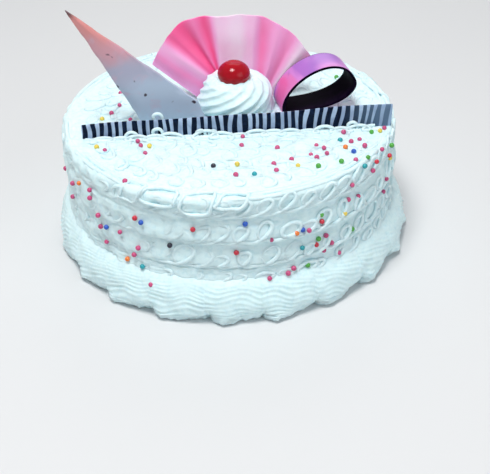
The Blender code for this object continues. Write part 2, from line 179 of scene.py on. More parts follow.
def addMask(tree, value, low, high, strength=1.0):
    # From nothing at low to its full strength at high.
    return addRamp(tree, value, ((low, (0.0, 0.0, 0.0)), (high, (strength, strength, strength))))


def addMix(tree, share, first, second):
    blend = addNode(tree, "ShaderNodeMix", {"data_type": "RGBA", "blend_type": "MIX"})
    for index, value in ((0, share), (6, first), (7, second)):
        join(tree, (*value, 1.0) if isinstance(value, tuple) else value, blend.inputs[index])
    return blend.outputs[2]


def newGroup(name, kind, inputs, outputs):
    # A node group, the values that it is given and the node that takes its results.
    group = bpy.data.node_groups.new(name, kind)
    for label, socketKind, *value in inputs:
        socket = group.interface.new_socket(label, in_out="INPUT", socket_type="NodeSocket" + socketKind)
        if value:
            socket.default_value = value[0]
    for label, socketKind in outputs:
        group.interface.new_socket(label, in_out="OUTPUT", socket_type="NodeSocket" + socketKind)
    return group, group.nodes.new("NodeGroupInput").outputs, group.nodes.new("NodeGroupOutput")


def newGeometryTree(name, *inputs):
    geometry = ("Geometry", "Geometry")
    return newGroup(name, "GeometryNodeTree", (geometry, *inputs, ("Material", "Material")), (geometry,))


def endTree(tree, geometry, material, end):
    real = addNode(tree, "GeometryNodeRealizeInstances", Geometry=geometry)
    coated = addNode(tree, "GeometryNodeSetMaterial", Geometry=real.outputs["Geometry"], Material=material)
    tree.links.new(coated.outputs["Geometry"], end.inputs["Geometry"])


def runTree(piece, tree, values):
    # Gives the piece the tree's mesh, with the inputs set by their identifiers.
    modifier = piece.modifiers.new(tree.name, "NODES")
    modifier.node_group = tree
    for item in tree.interface.items_tree:
        if item.in_out == "INPUT" and item.name in values:
            modifier[item.identifier] = values[item.name]
    evaluated = piece.evaluated_get(bpy.context.evaluated_depsgraph_get())
    mesh = bpy.data.meshes.new_from_object(evaluated)
    piece.modifiers.clear()
    piece.data = mesh


# Shader groups shared by the materials

def makeSoftGrain():
    # Fine unevenness: a mask from 0 to 1 and a normal.
    group, given, end = newGroup(
        "softGrain", "ShaderNodeTree",
        (("Vector", "Vector"), ("Scale", "Float", 300.0), ("Depth", "Float", 0.0002)),
        (("Mask", "Float"), ("Normal", "Vector")))
    spots = addNode(group, "ShaderNodeTexNoise", Vector=given["Vector"], Scale=given["Scale"], Detail=3.0)
    bump = addNode(group, "ShaderNodeBump", Strength=0.6, Distance=given["Depth"],
                   Height=spots.outputs["Fac"])
    group.links.new(spots.outputs["Fac"], end.inputs["Mask"])
    group.links.new(bump.outputs["Normal"], end.inputs["Normal"])
    return group


def makeMarbling():
    # Swirled veins of two or more melted chocolates, coarse and fine, as values from 0 to 1.
    group, given, end = newGroup(
        "marbling", "ShaderNodeTree",
        (("Vector", "Vector"), ("Scale", "Float", 25.0), ("Swirl", "Float", 1.5)),
        (("Value", "Float"), ("Fine", "Float")))
    finer = addMath(group, "MULTIPLY", given["Scale"], 3.1)
    for label, scale, detail in (("Value", given["Scale"], 2.5), ("Fine", finer, 4.0)):
        veins = addNode(group, "ShaderNodeTexNoise", Vector=given["Vector"], Scale=scale, Detail=detail,
                        Distortion=given["Swirl"])
        group.links.new(veins.outputs["Fac"], end.inputs[label])
    return group


softGrain = makeSoftGrain()
marbling = makeMarbling()


def newMaterial(name, grain=None, **values):
    # A material's grain is its scale, its depth, and the least and greatest roughness.
    # Gives the material, its tree and shader, Object coordinates and the grain's mask.
    material = bpy.data.materials.new(name)
    material.use_nodes = True
    tree = material.node_tree
    shader = tree.nodes["Principled BSDF"]
    for key, value in values.items():
        shader.inputs[key.replace("_", " ")].default_value = value
    place = tree.nodes.new("ShaderNodeTexCoord").outputs["Object"]
    if not grain:
        return material, tree, shader, place, None
    scale, depth, *rough = grain
    fine = addNode(tree, "ShaderNodeGroup", {"node_tree": softGrain}, Vector=place, Scale=scale, Depth=depth)
    tree.links.new(fine.outputs["Normal"], shader.inputs["Normal"])
    tree.links.new(addRange(tree, fine.outputs["Mask"], rough), shader.inputs["Roughness"])
    return material, tree, shader, place, fine.outputs["Mask"]


def addVeins(tree, place, scale, swirl):
    veins = addNode(tree, "ShaderNodeGroup", {"node_tree": marbling}, Vector=place, Scale=scale, Swirl=swirl)
    return veins.outputs


def paint(shader, colour):
    shader.id_data.links.new(colour, shader.inputs["Base Color"])


creamLook = {
    "colours": ((0.3, (0.64, 0.87, 0.93)), (0.55, (0.72, 0.925, 0.965))),
    "grain": (420.0, 0.00016, 0.36, 0.50),
    "glow": 0.35, "glowDepth": 0.004, "glowColour": (1.0, 0.9, 0.8), "refraction": 1.4,
}


def makeCreamMaterial():
    material, tree, shader, _, mask = newMaterial(
        "whippedCream", creamLook["grain"], Subsurface_Weight=creamLook["glow"],
        Subsurface_Radius=creamLook["glowColour"], Subsurface_Scale=creamLook["glowDepth"],
        IOR=creamLook["refraction"])
    paint(shader, addRamp(tree, mask, creamLook["colours"]))
    return material


cream = makeCreamMaterial()
print("cream material ready")


# Cream coat with its piped rows

coat = {
    "wallRadius": 0.0980,           # in the groove between two rows
    "lipRadius": 0.1004,            # at the lower lip of a row
    "footRadius": 0.0998,           # behind the border of shells
    "footHeights": (0.0, 0.010, 0.017),
    "rimRadius": 0.0996,
    "rimRound": 0.0034,
    "rimSteps": 8,
    "rimSunk": 0.0004,
    "rowFeet": (0.0655, 0.0496, 0.0340, 0.0245),
    "rowLevels": (0.0, 0.035, 0.08, 0.13, 0.19, 0.26, 0.34, 0.42, 0.50, 0.58, 0.66, 0.74, 0.82, 0.89, 0.95),
    "rimRowLevels": (15, 22),       # the first so many of these, as the rim is rounded above them
    "lip": 0.16,                    # share of a row that its rounded lower lip takes
    "thinning": (0.92, 1.05),       # how much a row draws in above it, and where that ends
    "lastGroove": 0.4,              # depth of the groove over the border, of the others
    "smeared": (-40, -14, 70, 100), # left of the front, grooves are shallow between the first and the last
    "leastGroove": 0.30,
    "loopsRound": 50,
    "scallop": 0.0013,
    "waver": 0.0011,                # how far a row wanders up and down
    "columns": 560,
    "flare": 0.0009,                # how far the foot of the side comes out towards the border
    "flareHeights": (0.033, 0.022),
    "lump": 0.0011,
    "lumps": ((0.70, 110), (0.45, 260)),    # size and scale of soft lumps
    "rougherLeft": 0.7,
    "streak": 0.0005,
    "streakScale": (90, 420),       # along and across the streaks
    "combDepth": 0.00022,           # streaks that the scraper left near the rim
    "combPitch": 0.0022,
    "combPatches": (0.35, 1.6, 5, 40),      # share, strength, and scales round the cake and across
    "topCombFrom": 0.0860,
    "topSteps": (0.00065, 0.0024),  # between rings on the top, in the streaks and inside them
    "topMiddle": 0.006,
    # Flat pressed places on the rim: from and to in degrees, and how far down each reaches
    "panels": ((-36.5, -29.5, 0.0700), (-28, -17, 0.0722), (-14.5, -5.2, 0.0695), (-4.2, 4.5, 0.0735),
               (98, 112, 0.0712), (116, 128, 0.0725), (168, 181, 0.0715), (-150, -138, 0.0720)),
    "panelTop": 0.0956,             # how far in on the top they begin
    "panelProud": 0.0006,
    "panelSlant": 0.0012,
    # How softly a place begins, ends, and stops below and on the top
    "panelFades": ((-0.8, 0.6), (-0.4, 0.6), (-0.0003, 0.0006), (-0.0004, 0.0012)),
}


def panelRelief(angle, radius, height):
    # How far a pressed place on the rim stands out, with a few streaks along it.
    across = fromFront(angle)
    for start, end, foot in coat["panels"]:
        if start - 2 < across < end + 2:
            places = (across, across, height, radius)
            edges = (start, end, foot + coat["panelSlant"] * sin(across), coat["panelTop"])
            begins, ends, below, above = [
                smooth(edge + low, edge + high, place)
                for place, edge, (low, high) in zip(places, edges, coat["panelFades"])]
            streaks = coat["combDepth"] * cos(2 * pi * (height - radius) / coat["combPitch"])
            return begins * (1 - ends) * below * above * (coat["panelProud"] + streaks)
    return 0.0


def rowFoot(row, angle):
    # Height of the lower lip of a row, which wanders and is scalloped by the loops.
    if row < 0:
        return topHeight
    drift = coat["waver"] * wander(angle, row + 3.1)
    scallop = coat["scallop"] * abs(sin(coat["loopsRound"] * angle / 2 + 1.3 * row))
    return coat["rowFeet"][row] + drift - scallop


def rowBulge(share):
    # How far a row stands out, from its foot at 0 to its top at 1.
    if share < coat["lip"]:
        return (share / coat["lip"]) ** 0.5
    less, end = coat["thinning"]
    return 1 - less * smooth(coat["lip"], end, share)


def lumps(point):
    # How far soft lumps, and streaks that run round the cake, stand out.
    along, over = coat["streakScale"]
    streak = uneven(point.x * along, point.y * along, point.z * over)
    soft = sum(size * noise.noise(point * scale) for size, scale in coat["lumps"])
    left = smooth(0.020, 0.080, -point.x) * smooth(0, 0.040, -point.y)
    return coat["lump"] * soft * (1 + coat["rougherLeft"] * left) + coat["streak"] * streak


def firmness(angle):
    # The rows are clear everywhere but on the front's far left, where they are smeared.
    low, high, behindLow, behindHigh = coat["smeared"]
    across = fromFront(angle)
    return max(coat["leastGroove"], smooth(low, high, across), smooth(behindLow, behindHigh, abs(across)))


def sideRadius(angle, height):
    # Radius of the coat at a place on its side.
    row = 0
    while row < len(coat["rowFeet"]) and height < rowFoot(row, angle):
        row += 1
    if row == len(coat["rowFeet"]):
        return coat["footRadius"]
    low, high = rowFoot(row, angle), rowFoot(row - 1, angle)
    lip = coat["rimRadius"] if row == 0 else coat["lipRadius"]
    groove = (lip - coat["wallRadius"]) * (1 - rowBulge((height - low) / (high - low))) * firmness(angle)
    if row == len(coat["rowFeet"]) - 1:
        groove *= coat["lastGroove"]
    return lip - groove + coat["flare"] * smooth(*coat["flareHeights"], height)


def comb(angle, across):
    # Streaks that run round the cake, deeper in some places.
    share, strength, along, over = coat["combPatches"]
    patch = strength * max(0.0, share + uneven(along * sin(angle), along * cos(angle), over * across))
    return coat["combDepth"] * patch * cos(2 * pi * across / coat["combPitch"])


def rimPoint(angle, lean, proud):
    # A point on the rounded rim, or this far out from it.
    rounding = coat["rimRound"]
    radius = coat["rimRadius"] - rounding + (rounding + proud) * cos(lean)
    return around(radius, angle, topHeight - rounding + (rounding + proud) * sin(lean))


def makeCoat():
    columns = coat["columns"]
    angles = [2 * pi * j / columns for j in range(columns)]
    rings = [[around(coat["footRadius"], angle, height) for angle in angles]
             for height in coat["footHeights"]]

    def addRing(place):
        ring = []
        for angle in angles:
            point, out = place(angle)
            relief = lumps(point) + panelRelief(angle, hypot(point.x, point.y), point.z)
            ring.append(point + out * relief)
        rings.append(ring)

    for row in range(len(coat["rowFeet"]) - 1, -1, -1):
        count, among = coat["rimRowLevels"]
        for share in coat["rowLevels"] if row else [level / among for level in range(count)]:

            def side(angle):
                height = mix(rowFoot(row, angle), rowFoot(row - 1, angle), share + 0.001)
                point = around(sideRadius(angle, height) + comb(angle, height), angle, height)
                return point, around(1, angle, 0)

            addRing(side)
    for step in range(coat["rimSteps"] + 1):
        lean = pi / 2 * step / coat["rimSteps"]

        def rim(angle):
            point = rimPoint(angle, lean, 0.0) - around(coat["rimSunk"], angle, 0)
            return point, around(cos(lean), angle, sin(lean))

        addRing(rim)
    radius = coat["rimRadius"] - coat["rimRound"]
    while radius > coat["topMiddle"]:
        combed = radius > coat["topCombFrom"]
        radius -= coat["topSteps"][0 if combed else 1]

        def flat(angle):
            depth = comb(angle, radius) - 0.0003 if combed else 0.0
            return around(radius, angle, topHeight + depth), Vector((0, 0, 1))

        addRing(flat)
    points = [point for ring in rings for point in ring]
    faces = gridFaces(len(rings), columns, wrapColumns=True)
    for first, height in ((0, 0.0), (len(points) - columns, topHeight)):
        closeRing(points, faces, first, columns, (0, 0, height))
    finishPiece(makePiece("creamCoat", points, faces, [cream]), "whipped_cream", "cake_body")


makeCoat()
print("cream coat ready")


# Thin lines of cream, swept along paths by one tree

strand = {"radius": 0.00120, "lobes": 5, "lobeDepth": 0.10, "samples": 20}


def makeStrandTree():
    # Sweeps a star, as the piping tip has, along every line of the mesh.
    tree, given, end = newGeometryTree(
        "pipedStrand", ("Strand Radius", "Float"), ("Lobes", "Int"), ("Lobe Depth", "Float"))
    path = addNode(tree, "GeometryNodeMeshToCurve", Mesh=given["Geometry"])
    thick = addNode(tree, "GeometryNodeInputNamedAttribute", {"data_type": "FLOAT"}, Name="thickness")
    sized = addNode(tree, "GeometryNodeSetCurveRadius", Curve=path.outputs["Curve"],
                    Radius=thick.outputs["Attribute"])
    kept = addMath(tree, "SUBTRACT", 1.0, given["Lobe Depth"])
    star = addNode(tree, "GeometryNodeCurveStar", Points=given["Lobes"],
                   Inner_Radius=addMath(tree, "MULTIPLY", kept, given["Strand Radius"]),
                   Outer_Radius=given["Strand Radius"])
    swept = addNode(tree, "GeometryNodeCurveToMesh", Curve=sized.outputs["Curve"],
                    Profile_Curve=star.outputs["Curve"], Fill_Caps=True)
    soft = addNode(tree, "GeometryNodeSetShadeSmooth", Geometry=swept.outputs["Mesh"])
    endTree(tree, soft.outputs["Geometry"], given["Material"], end)
    return tree


strandTree = makeStrandTree()


def sweepStrands(name, paths, radius=strand["radius"]):
    # One piece from paths, each a list of (point, thickness) and whether it closes.
    points, edges, sizes = [], [], []
    for path, closes in paths:
        first = len(points)
        points += [tuple(point) for point, size in path]
        sizes += [size for point, size in path]
        edges += [(j, j + 1) for j in range(first, len(points) - 1)]
        if closes:
            edges.append((len(points) - 1, first))
    mesh = bpy.data.meshes.new(name)
    mesh.from_pydata(points, edges, [])
    mesh.attributes.new("thickness", "FLOAT", "POINT").data.foreach_set("value", sizes)
    piece = newPiece(name, mesh)
    runTree(piece, strandTree, {"Strand Radius": radius, "Lobes": strand["lobes"],
                                "Lobe Depth": strand["lobeDepth"], "Material": cream})
    finishPiece(piece, "whipped_cream")


loopLook = {
    "wide": (-0.38, 0.30), "tall": (-0.40, 0.08), "slip": (-0.22, 0.22),     # how loops differ
    "ease": 0.35,                   # share of a loop in which it takes over from the last
    "thickness": (0.9, 0.22, 1.7),  # its middle, how far it varies, and how fast
}


def loopPath(loops, seed, place, loopWidth, differ=1.0):
    # Loops that run on round the cake.
    # place gives a point and its thickness for an angle and a rise from -1 to 1.
    draw = random.Random(seed)
    wide = [1 + differ * draw.uniform(*loopLook["wide"]) for _ in range(loops)]
    tall = [1 + differ * draw.uniform(*loopLook["tall"]) for _ in range(loops)]
    slip = [differ * draw.uniform(*loopLook["slip"]) for _ in range(loops)]
    middle, varies, fast = loopLook["thickness"]
    path = []
    for step in range(loops * strand["samples"]):
        t = step / strand["samples"]
        here = int(t + 0.5) % loops
        before = (here - 1) % loops
        ease = smooth(0.0, loopLook["ease"], t + 0.5 - floor(t + 0.5))
        width = loopWidth * mix(wide[before], wide[here], ease)
        rise = (1 - cos(2 * pi * t)) * mix(tall[before], tall[here], ease) - 1
        shift = t + mix(slip[before], slip[here], ease) + width * sin(2 * pi * t)
        point, size = place(shift / loops * 2 * pi, rise, t)
        path.append((point, size * (middle + varies * uneven(t * fast, seed, 0.3))))
    return path


# Loops along the rows on the side

sideRows = {
    "loopWidth": 0.58, "loopHeight": 0.37, "middle": 0.42, "lean": 0.45, "cross": 0.0003, "radius": 0.00125,
    # Where the cream is soft and where it is crisp
    "proud": (0.0005, 0.0016), "thick": (1.45, 1.0), "fade": (0.0010, 0.0004),
    # Degrees between which the loops turn crisp, soft again, and partly crisp behind
    "crispFrom": (-40, 45), "crispTo": (75, 105), "behindFrom": (100, 130),
}


def crispness(angle):
    # The loops stand out clearly on the front's right, and sink into the soft cream on its left.
    across = fromFront(angle)
    shown = smooth(*sideRows["crispFrom"], across) * (1 - smooth(*sideRows["crispTo"], across))
    return max(shown, smooth(*sideRows["behindFrom"], abs(across)) * (0.5 + 0.5 * wander(angle, 2.6)))


def makeSideRows():
    paths = []
    for row in range(1, len(coat["rowFeet"])):

        def place(angle, rise, t):
            low, high = rowFoot(row, angle), rowFoot(row - 1, angle)
            half = sideRows["loopHeight"] * (high - low)
            height = mix(low, high, sideRows["middle"]) + half * rise
            turned = angle + sideRows["lean"] * half * rise / coat["lipRadius"]
            crisp = crispness(turned)
            varies = mix(*sideRows["fade"], crisp) * uneven(t * 1.1, row * 2.3)
            proud = mix(*sideRows["proud"], crisp) + varies
            size = mix(*sideRows["thick"], crisp)
            out = sideRadius(turned, height + 0.0006) + proud - sideRows["radius"] * size
            return around(out + sideRows["cross"] * sin(2 * pi * t), turned, height), size

        loops = coat["loopsRound"] + (row * 3) % 5
        paths.append((loopPath(loops, 10 + row, place, sideRows["loopWidth"]), True))
    sweepStrands("sideLoops", paths, sideRows["radius"])


makeSideRows()
print("side rows ready")


# Loops on the side under the rim, and long ridges beside it on the top

rimRow = {
    "loops": 52, "loopWidth": 0.60, "middle": 0.0710, "reach": 0.0050, "lean": 0.55, "radius": 0.00110,
    "differ": 0.35, "reachVaries": 0.16, "middleVaries": 0.0007, "overTop": 0.0002, "cross": 0.0003,
    "bent": (0.0016, 0.0022),       # how far the loops bend in over the rim, and how far down that starts
    "sunk": (0.0003, 0.0007, 0.0005),       # everywhere, more where the cream is soft, and how far it varies
    "pressed": 0.4,                 # share of a pressed place's height by which they sink
}
rimRidges = {
    "radius": 0.00130, "sunk": 0.0005, "waver": (0.0008, 0.0004), "ends": (9, 0.0016), "uneven": 0.0004,
    # Radius in mm, and from and to in degrees
    "lines": ((97.0, -6, 62), (94.4, 4, 66), (91.6, -14, 58), (96.2, -70, -33), (93.4, -64, -24),
              (96.6, 80, 150), (93.6, 88, 168), (96.8, 172, 262), (94.0, 160, 250), (91.0, 186, 236),
              (96.0, 268, 296)),
}


def makeRimLoops():
    def place(angle, rise, t):
        reach = rimRow["reach"] * (1 + rimRow["reachVaries"] * wander(angle, 5.2)) * rise
        height = rimRow["middle"] + rimRow["middleVaries"] * wander(angle, 0.4) + reach
        height = min(height, topHeight + rimRow["overTop"])
        turned = angle + rimRow["lean"] * reach / coat["rimRadius"]
        bend, down = rimRow["bent"]
        radius = coat["rimRadius"] - bend * smooth(topHeight - down, topHeight, height)
        always, soft, varies = rimRow["sunk"]
        sunk = always + soft * (1 - crispness(turned)) + varies * uneven(t * 0.5, 7.7)
        sunk += rimRow["pressed"] * panelRelief(turned, radius, height)
        return around(radius - sunk + rimRow["cross"] * sin(2 * pi * t), turned, height), 1.0

    path = loopPath(rimRow["loops"], 4, place, rimRow["loopWidth"], rimRow["differ"])
    sweepStrands("rimLoops", [(path, True)], rimRow["radius"])


def makeRimRidges():
    paths = []
    slow, fast = rimRidges["waver"]
    ending, sinks = rimRidges["ends"]
    for radius, start, end in rimRidges["lines"]:
        path = []
        steps = int(end - start)
        for step in range(steps + 1):
            angle = radians(start + step)
            ends = smooth(0, ending, step) * (1 - smooth(steps - ending, steps, step))
            wobble = slow * wander(angle, radius) + fast * uneven(step * 0.13, radius)
            varies = rimRidges["uneven"] * uneven(step * 0.09, radius, 5)
            sunk = rimRidges["sunk"] + sinks * (1 - ends) - varies
            path.append((around(radius / 1000 + wobble, angle, topHeight - sunk), 1.0))
        paths.append((path, False))
    sweepStrands("rimRidges", paths, rimRidges["radius"])


panelEdges = {
    "radius": 0.00105, "proud": 0.0003, "steps": 72,
    "inner": 0.0062,                # how far in on the top they run
    "square": 0.44,                 # 1 is an oval, 0 a box
    "slant": 1.2, "waver": (0.7, 0.0006),   # degrees, and degrees and metres
    "thickness": (0.95, 0.5), "proudVaries": 3,
}


def overRim(angle, across, proud):
    # A point this far in from the edge of the top, or down the side where across is negative.
    arc = pi * coat["rimRound"] / 4
    lean = pi / 4 * (1 + min(1.0, max(-1.0, across / arc)))
    point = rimPoint(angle, lean, proud)
    return point + around(-max(0.0, across - arc), angle, min(0.0, across + arc))


def makePanelEdges():
    # Lines of cream round the pressed places on the rim.
    paths = []
    aside, inward = panelEdges["waver"]
    middle, varies = panelEdges["thickness"]
    for start, end, foot in coat["panels"]:
        path = []
        for step in range(panelEdges["steps"]):
            turn = 2 * pi * step / panelEdges["steps"]
            side = signedPower(cos(turn), panelEdges["square"])
            rise = signedPower(sin(turn), panelEdges["square"])
            angle = mix(start, end, 0.5 + 0.5 * side) + panelEdges["slant"] * rise
            angle += aside * sin(2 * turn + start)
            across = mix(foot - topHeight, panelEdges["inner"], 0.5 + 0.5 * rise)
            across += inward * sin(3 * turn + start)
            bumpy = uneven(2 * cos(turn), 2 * sin(turn), start)
            proud = panelEdges["proud"] * (1 + panelEdges["proudVaries"] * bumpy)
            path.append((overRim(radians(angle), across, proud), middle + varies * bumpy))
        paths.append((path, True))
    sweepStrands("panelEdges", paths, panelEdges["radius"])


makeRimLoops()
makeRimRidges()
makePanelEdges()
print("rim loops ready")


# Loops all over the top

topRows = {
    "outer": 0.0830, "inner": 0.0080, "pitch": 0.0102, "loopLength": 0.0118, "loopWidth": 0.52,
    "reach": 0.0058, "reachVaries": 0.25, "waver": 0.0012, "sunk": 0.0005, "cross": 0.0004,
    "turned": 0.4,                  # how far each row starts round from the last
}


def makeTopLoops():
    paths = []
    radius = topRows["outer"]
    row = 0
    while radius > topRows["inner"]:

        def place(angle, rise, t):
            reach = topRows["reach"] * rise * (1 + topRows["reachVaries"] * wander(angle, row))
            reach += radius + topRows["waver"] * wander(angle, row + 9.3)
            height = topHeight - topRows["sunk"] + topRows["cross"] * sin(2 * pi * t)
            return around(reach, angle + topRows["turned"] * row, height), 1.0

        loops = max(3, round(2 * pi * radius / topRows["loopLength"]))
        paths.append((loopPath(loops, 40 + row, place, topRows["loopWidth"]), True))
        radius -= topRows["pitch"]
        row += 1
    sweepStrands("topLoops", paths)


makeTopLoops()
print("top loops ready")


# Border of shells

border = {
    "count": 21,
    "start": radians(8.9),          # a shell's ragged end lies this far before the front
    "rise": 0.20,                   # share of a shell in which it swells
    "least": 0.05,                  # size of a shell where it ends
    "falls": (0.75, 0.25),          # how it thins out, evenly and faster
    "innerRadius": 0.0985,
    "reach": (0.0046, 0.0136),      # how far the border stands out between shells, and where one is widest
    "sizes": (0.92, 1.0),
    "filled": (-0.42, 0.30),        # between these the gaps between shells fill up, in parts of the height
    "even": 0.70,                   # size of the border where they are filled
    "slope": 1.25,
    "larger": 0.12,                 # how much larger the shells on the right are
    "height": 0.0276,
    "belly": 0.0060,                # height of the widest place
    "over": radians(84), "under": radians(44),      # how far its section turns over and under that
    "ribs": 16,
    "ribDepth": 0.00038,
    "ribEdge": 0.8,                 # how narrow the grooves between ribs are
    "ribBend": (1.3, 2.2, 3),       # how far ribs bend, and how fast along and across
    "ribSlant": 0.34,               # how far the ribs run in or out along a shell, at the sides
    "ribPatches": (1.1, 4, 5),      # how far their depth varies, and how fast along and across
    "ribsFrom": (0.10, 0.50),       # where on the section they begin
    "ragged": (0.075, 0.110),       # how far the ends of the ribs differ, one by one and together
    "lump": (0.0009, 130), "lumpFrom": (0.02, 0.3),
    "teeth": (0.0011, 430), "teethFrom": (0.62, 0.95),      # how rough the foot is, where the ribs end
    "levels": 74,
    "columns": (26, 34),            # where a shell swells, and along the rest
}


def shellAngle(number):
    return 2 * pi * number / border["count"] - border["start"]


def shellSwell(share):
    # How far along its full size a shell is: it swells fast behind its ragged end, then thins out.
    least = border["least"]
    if share <= 0:
        return least
    if share < border["rise"]:
        return least + (1 - least) * smooth(-0.12, border["rise"], share)
    fall = (share - border["rise"]) / (1 - border["rise"])
    evenly, faster = border["falls"]
    return 1 - (1 - least) * (evenly * fall + faster * fall * fall)


def borderPoint(number, share, angle, size, s):
    # A point of the section, from inside the coat at 0 over the top to the foot outside at 1.
    lean = mix(border["over"], -border["under"], s)
    far, along, over = border["ribBend"]
    flow = border["ribs"] * (s - border["ribSlant"] * sin(angle) * share)
    flow += far * uneven(along * share + number, over * s, 7)
    rib = 1 - abs(cos(pi * flow)) ** border["ribEdge"]
    one, together = border["ragged"]
    late = one * (1 - rib) * (0.4 + uneven(number, floor(flow) * 0.7, 0.5))
    late += together * (0.5 + uneven(number * 1.7, 2.2 * s, 3.0))
    swell = mix(shellSwell(share - max(0.0, late)), border["even"], smooth(*border["filled"], sin(lean)))
    least, widest = border["reach"]
    reach = mix(least, widest * size, swell) * (1 + border["larger"] * smooth(0.5, 1, sin(angle)))
    if lean > 0:
        up = mix(border["belly"], border["height"], sin(lean))
    else:
        up = border["belly"] * (1 + sin(lean) / sin(border["under"]))
    point = around(border["innerRadius"] + reach * cos(lean) ** border["slope"], angle, up)
    varies, along, over = border["ribPatches"]
    deep = border["ribDepth"] * (0.6 + 0.4 * swell) * smooth(*border["ribsFrom"], s)
    deep *= 1 + varies * uneven(along * share + 2 * number, over * s, 1)
    lump, lumpScale = border["lump"]
    teeth, teethScale = border["teeth"]
    relief = deep * (2 * rib - 1) + lump * noise.noise(point * lumpScale) * smooth(*border["lumpFrom"], s)
    rough = noise.noise(around(0.105, angle, 0.4 * up) * teethScale)
    relief += teeth * rough * smooth(*border["teethFrom"], s)
    point += around(relief * cos(lean), angle, relief * sin(lean))
    point.z = 0.0 if s == 1 else max(0.0, point.z)
    return point


def borderSection(number, share, angle, size):
    # The section's points, and two more on its inner side.
    levels = border["levels"]
    section = [borderPoint(number, share, angle, size, level / (levels - 1)) for level in range(levels)]
    return section + [around(border["innerRadius"], angle, height) for height in (0, border["height"] / 2)]


def makeBorder():
    draw = random.Random(200)
    swelling, rest = border["columns"]
    swollen = border["rise"] * 1.4
    shares = [swollen * j / swelling for j in range(swelling)]
    shares += [mix(swollen, 1, j / rest) for j in range(rest)]
    sections = []
    for number in range(border["count"]):
        start, end = shellAngle(number), shellAngle(number + 1)
        size = draw.uniform(*border["sizes"])
        sections += [borderSection(number, share, mix(start, end, share), size) for share in shares]
    points = [point for section in sections for point in section]
    faces = gridFaces(len(sections), len(sections[0]), True, True)
    finishPiece(makePiece("shellBorder", points, faces, [cream]), "whipped_cream", "shell_border")


makeBorder()
print("shell border ready")


# Pleated fan

fan = {
    "centre": (0.0080, 0.0790),     # x and z of the middle of its round edge
    "y": 0.0170,
    "lean": 0.12,
    "wrap": 0.0060,                 # how far its sides bend forward at wrapWidth from the middle
    "wrapWidth": 0.055,
    "radius": 0.0493,
    "leftRadius": 0.0572,
    "leftFrom": (98, 130),          # degrees between which its edge turns from one into the other
    "thick": 0.0012,
    "gathered": 0.35,               # depth of the pleats at the gather, of that at the edge
    "flattened": (0.55, 1.55),      # how much of it goes again at the edge, and from where
    "nicks": 0.0006, "ripple": 0.0003,
    "fine": 9, "rows": 22,          # columns to a pleat, and rows between the gather and the edge
    # From left to right: angle at the edge, inner x and z, forward depth, tint from 0 pale to 1 hot pink,
    # which holds the chocolate's own pink together with painted highlight on the ridges and painted shade in
    # the folds
    "pleats": (
        (156, -0.0180, 0.0785, 0.0012, 0.50),
        (150, -0.0130, 0.0850, 0.0030, 0.60),
        (144, -0.0100, 0.0900, 0.0032, 0.32),
        (136, -0.0080, 0.0925, 0.0000, 0.90),
        (127, -0.0068, 0.0940, -0.0030, 1.00),
        (120, -0.0062, 0.0950, -0.0004, 0.72),
        (113, -0.0056, 0.0955, -0.0026, 0.95),
        (104, -0.0030, 0.0955, 0.0016, 0.16),
        (90, 0.0080, 0.0945, 0.0022, 0.04),
        (80, 0.0150, 0.0930, 0.0014, 0.20),
        (72, 0.0205, 0.0905, -0.0022, 0.66),
        (60, 0.0235, 0.0880, 0.0014, 0.46),
        (48, 0.0262, 0.0855, -0.0010, 0.62),
        (38, 0.0285, 0.0835, 0.0024, 0.06),
        (29, 0.0310, 0.0815, 0.0000, 0.46),
    ),
    "grain": (180.0, 0.00012, 0.30, 0.46),
    "veins": (40.0, 1.0), "veinTint": 0.12,
    "glow": 0.45, "glowDepth": 0.003, "glowColour": (1.0, 0.6, 0.8), "glaze": 0.1, "glazeRoughness": 0.3,
    # Pale stops paint highlight on the ridges and deep pink stops paint shade in the folds, over the
    # chocolate's own pinks
    "colours": ((0.0, (0.92, 0.72, 0.86)), (0.22, (0.93, 0.53, 0.75)), (0.50, (1.0, 0.40, 0.68)),
                (0.72, (1.0, 0.22, 0.48)), (1.0, (1.0, 0.09, 0.30))),
}


def fanFront(x, z):
    # Y of the fan's sheet behind the rosette.
    wrap = fan["wrap"] * ((x - fan["centre"][0]) / fan["wrapWidth"]) ** 2
    return fan["y"] + fan["lean"] * (z - fan["centre"][1]) - wrap


def fanPleat(place):
    # The fan's values between two pleats. Depth and tint, which holds painted highlight and shade as well as
    # the pink, change softly.
    index = min(int(floor(place)), len(fan["pleats"]) - 2)
    share = place - index
    eased = smooth(0, 1, share)
    pairs = zip(fan["pleats"][index], fan["pleats"][index + 1])
    return [mix(low, high, share if item < 3 else eased) for item, (low, high) in enumerate(pairs)]


def fanPoint(place, rise):
    # A point on the fan's sheet and its tint, pink with painted highlight and shade: rise is 0 at the foot, 1
    # at the gather and 2 at the edge.
    angle, innerX, innerZ, depth, tintAndPaintedLight = fanPleat(place)
    reach = mix(fan["radius"], fan["leftRadius"], smooth(*fan["leftFrom"], angle))
    reach -= fan["nicks"] * abs(uneven(angle * 0.13, 2.2))
    edgeX = fan["centre"][0] + reach * cos(radians(angle))
    edgeZ = fan["centre"][1] + reach * sin(radians(angle))
    if rise <= 1:
        x, z = innerX, mix(baseHeight, innerZ, rise)
        forward = fan["gathered"] * depth * rise
    else:
        x, z = mix(innerX, edgeX, rise - 1), mix(innerZ, edgeZ, rise - 1)
        less, start = fan["flattened"]
        forward = depth * mix(fan["gathered"], 1, rise - 1) * (1 - less * smooth(start, 2.0, rise))
    forward += fan["ripple"] * uneven(angle * 0.22, rise * 1.5, 0.7)
    return Vector((x, fanFront(x, z) - forward, z)), tintAndPaintedLight


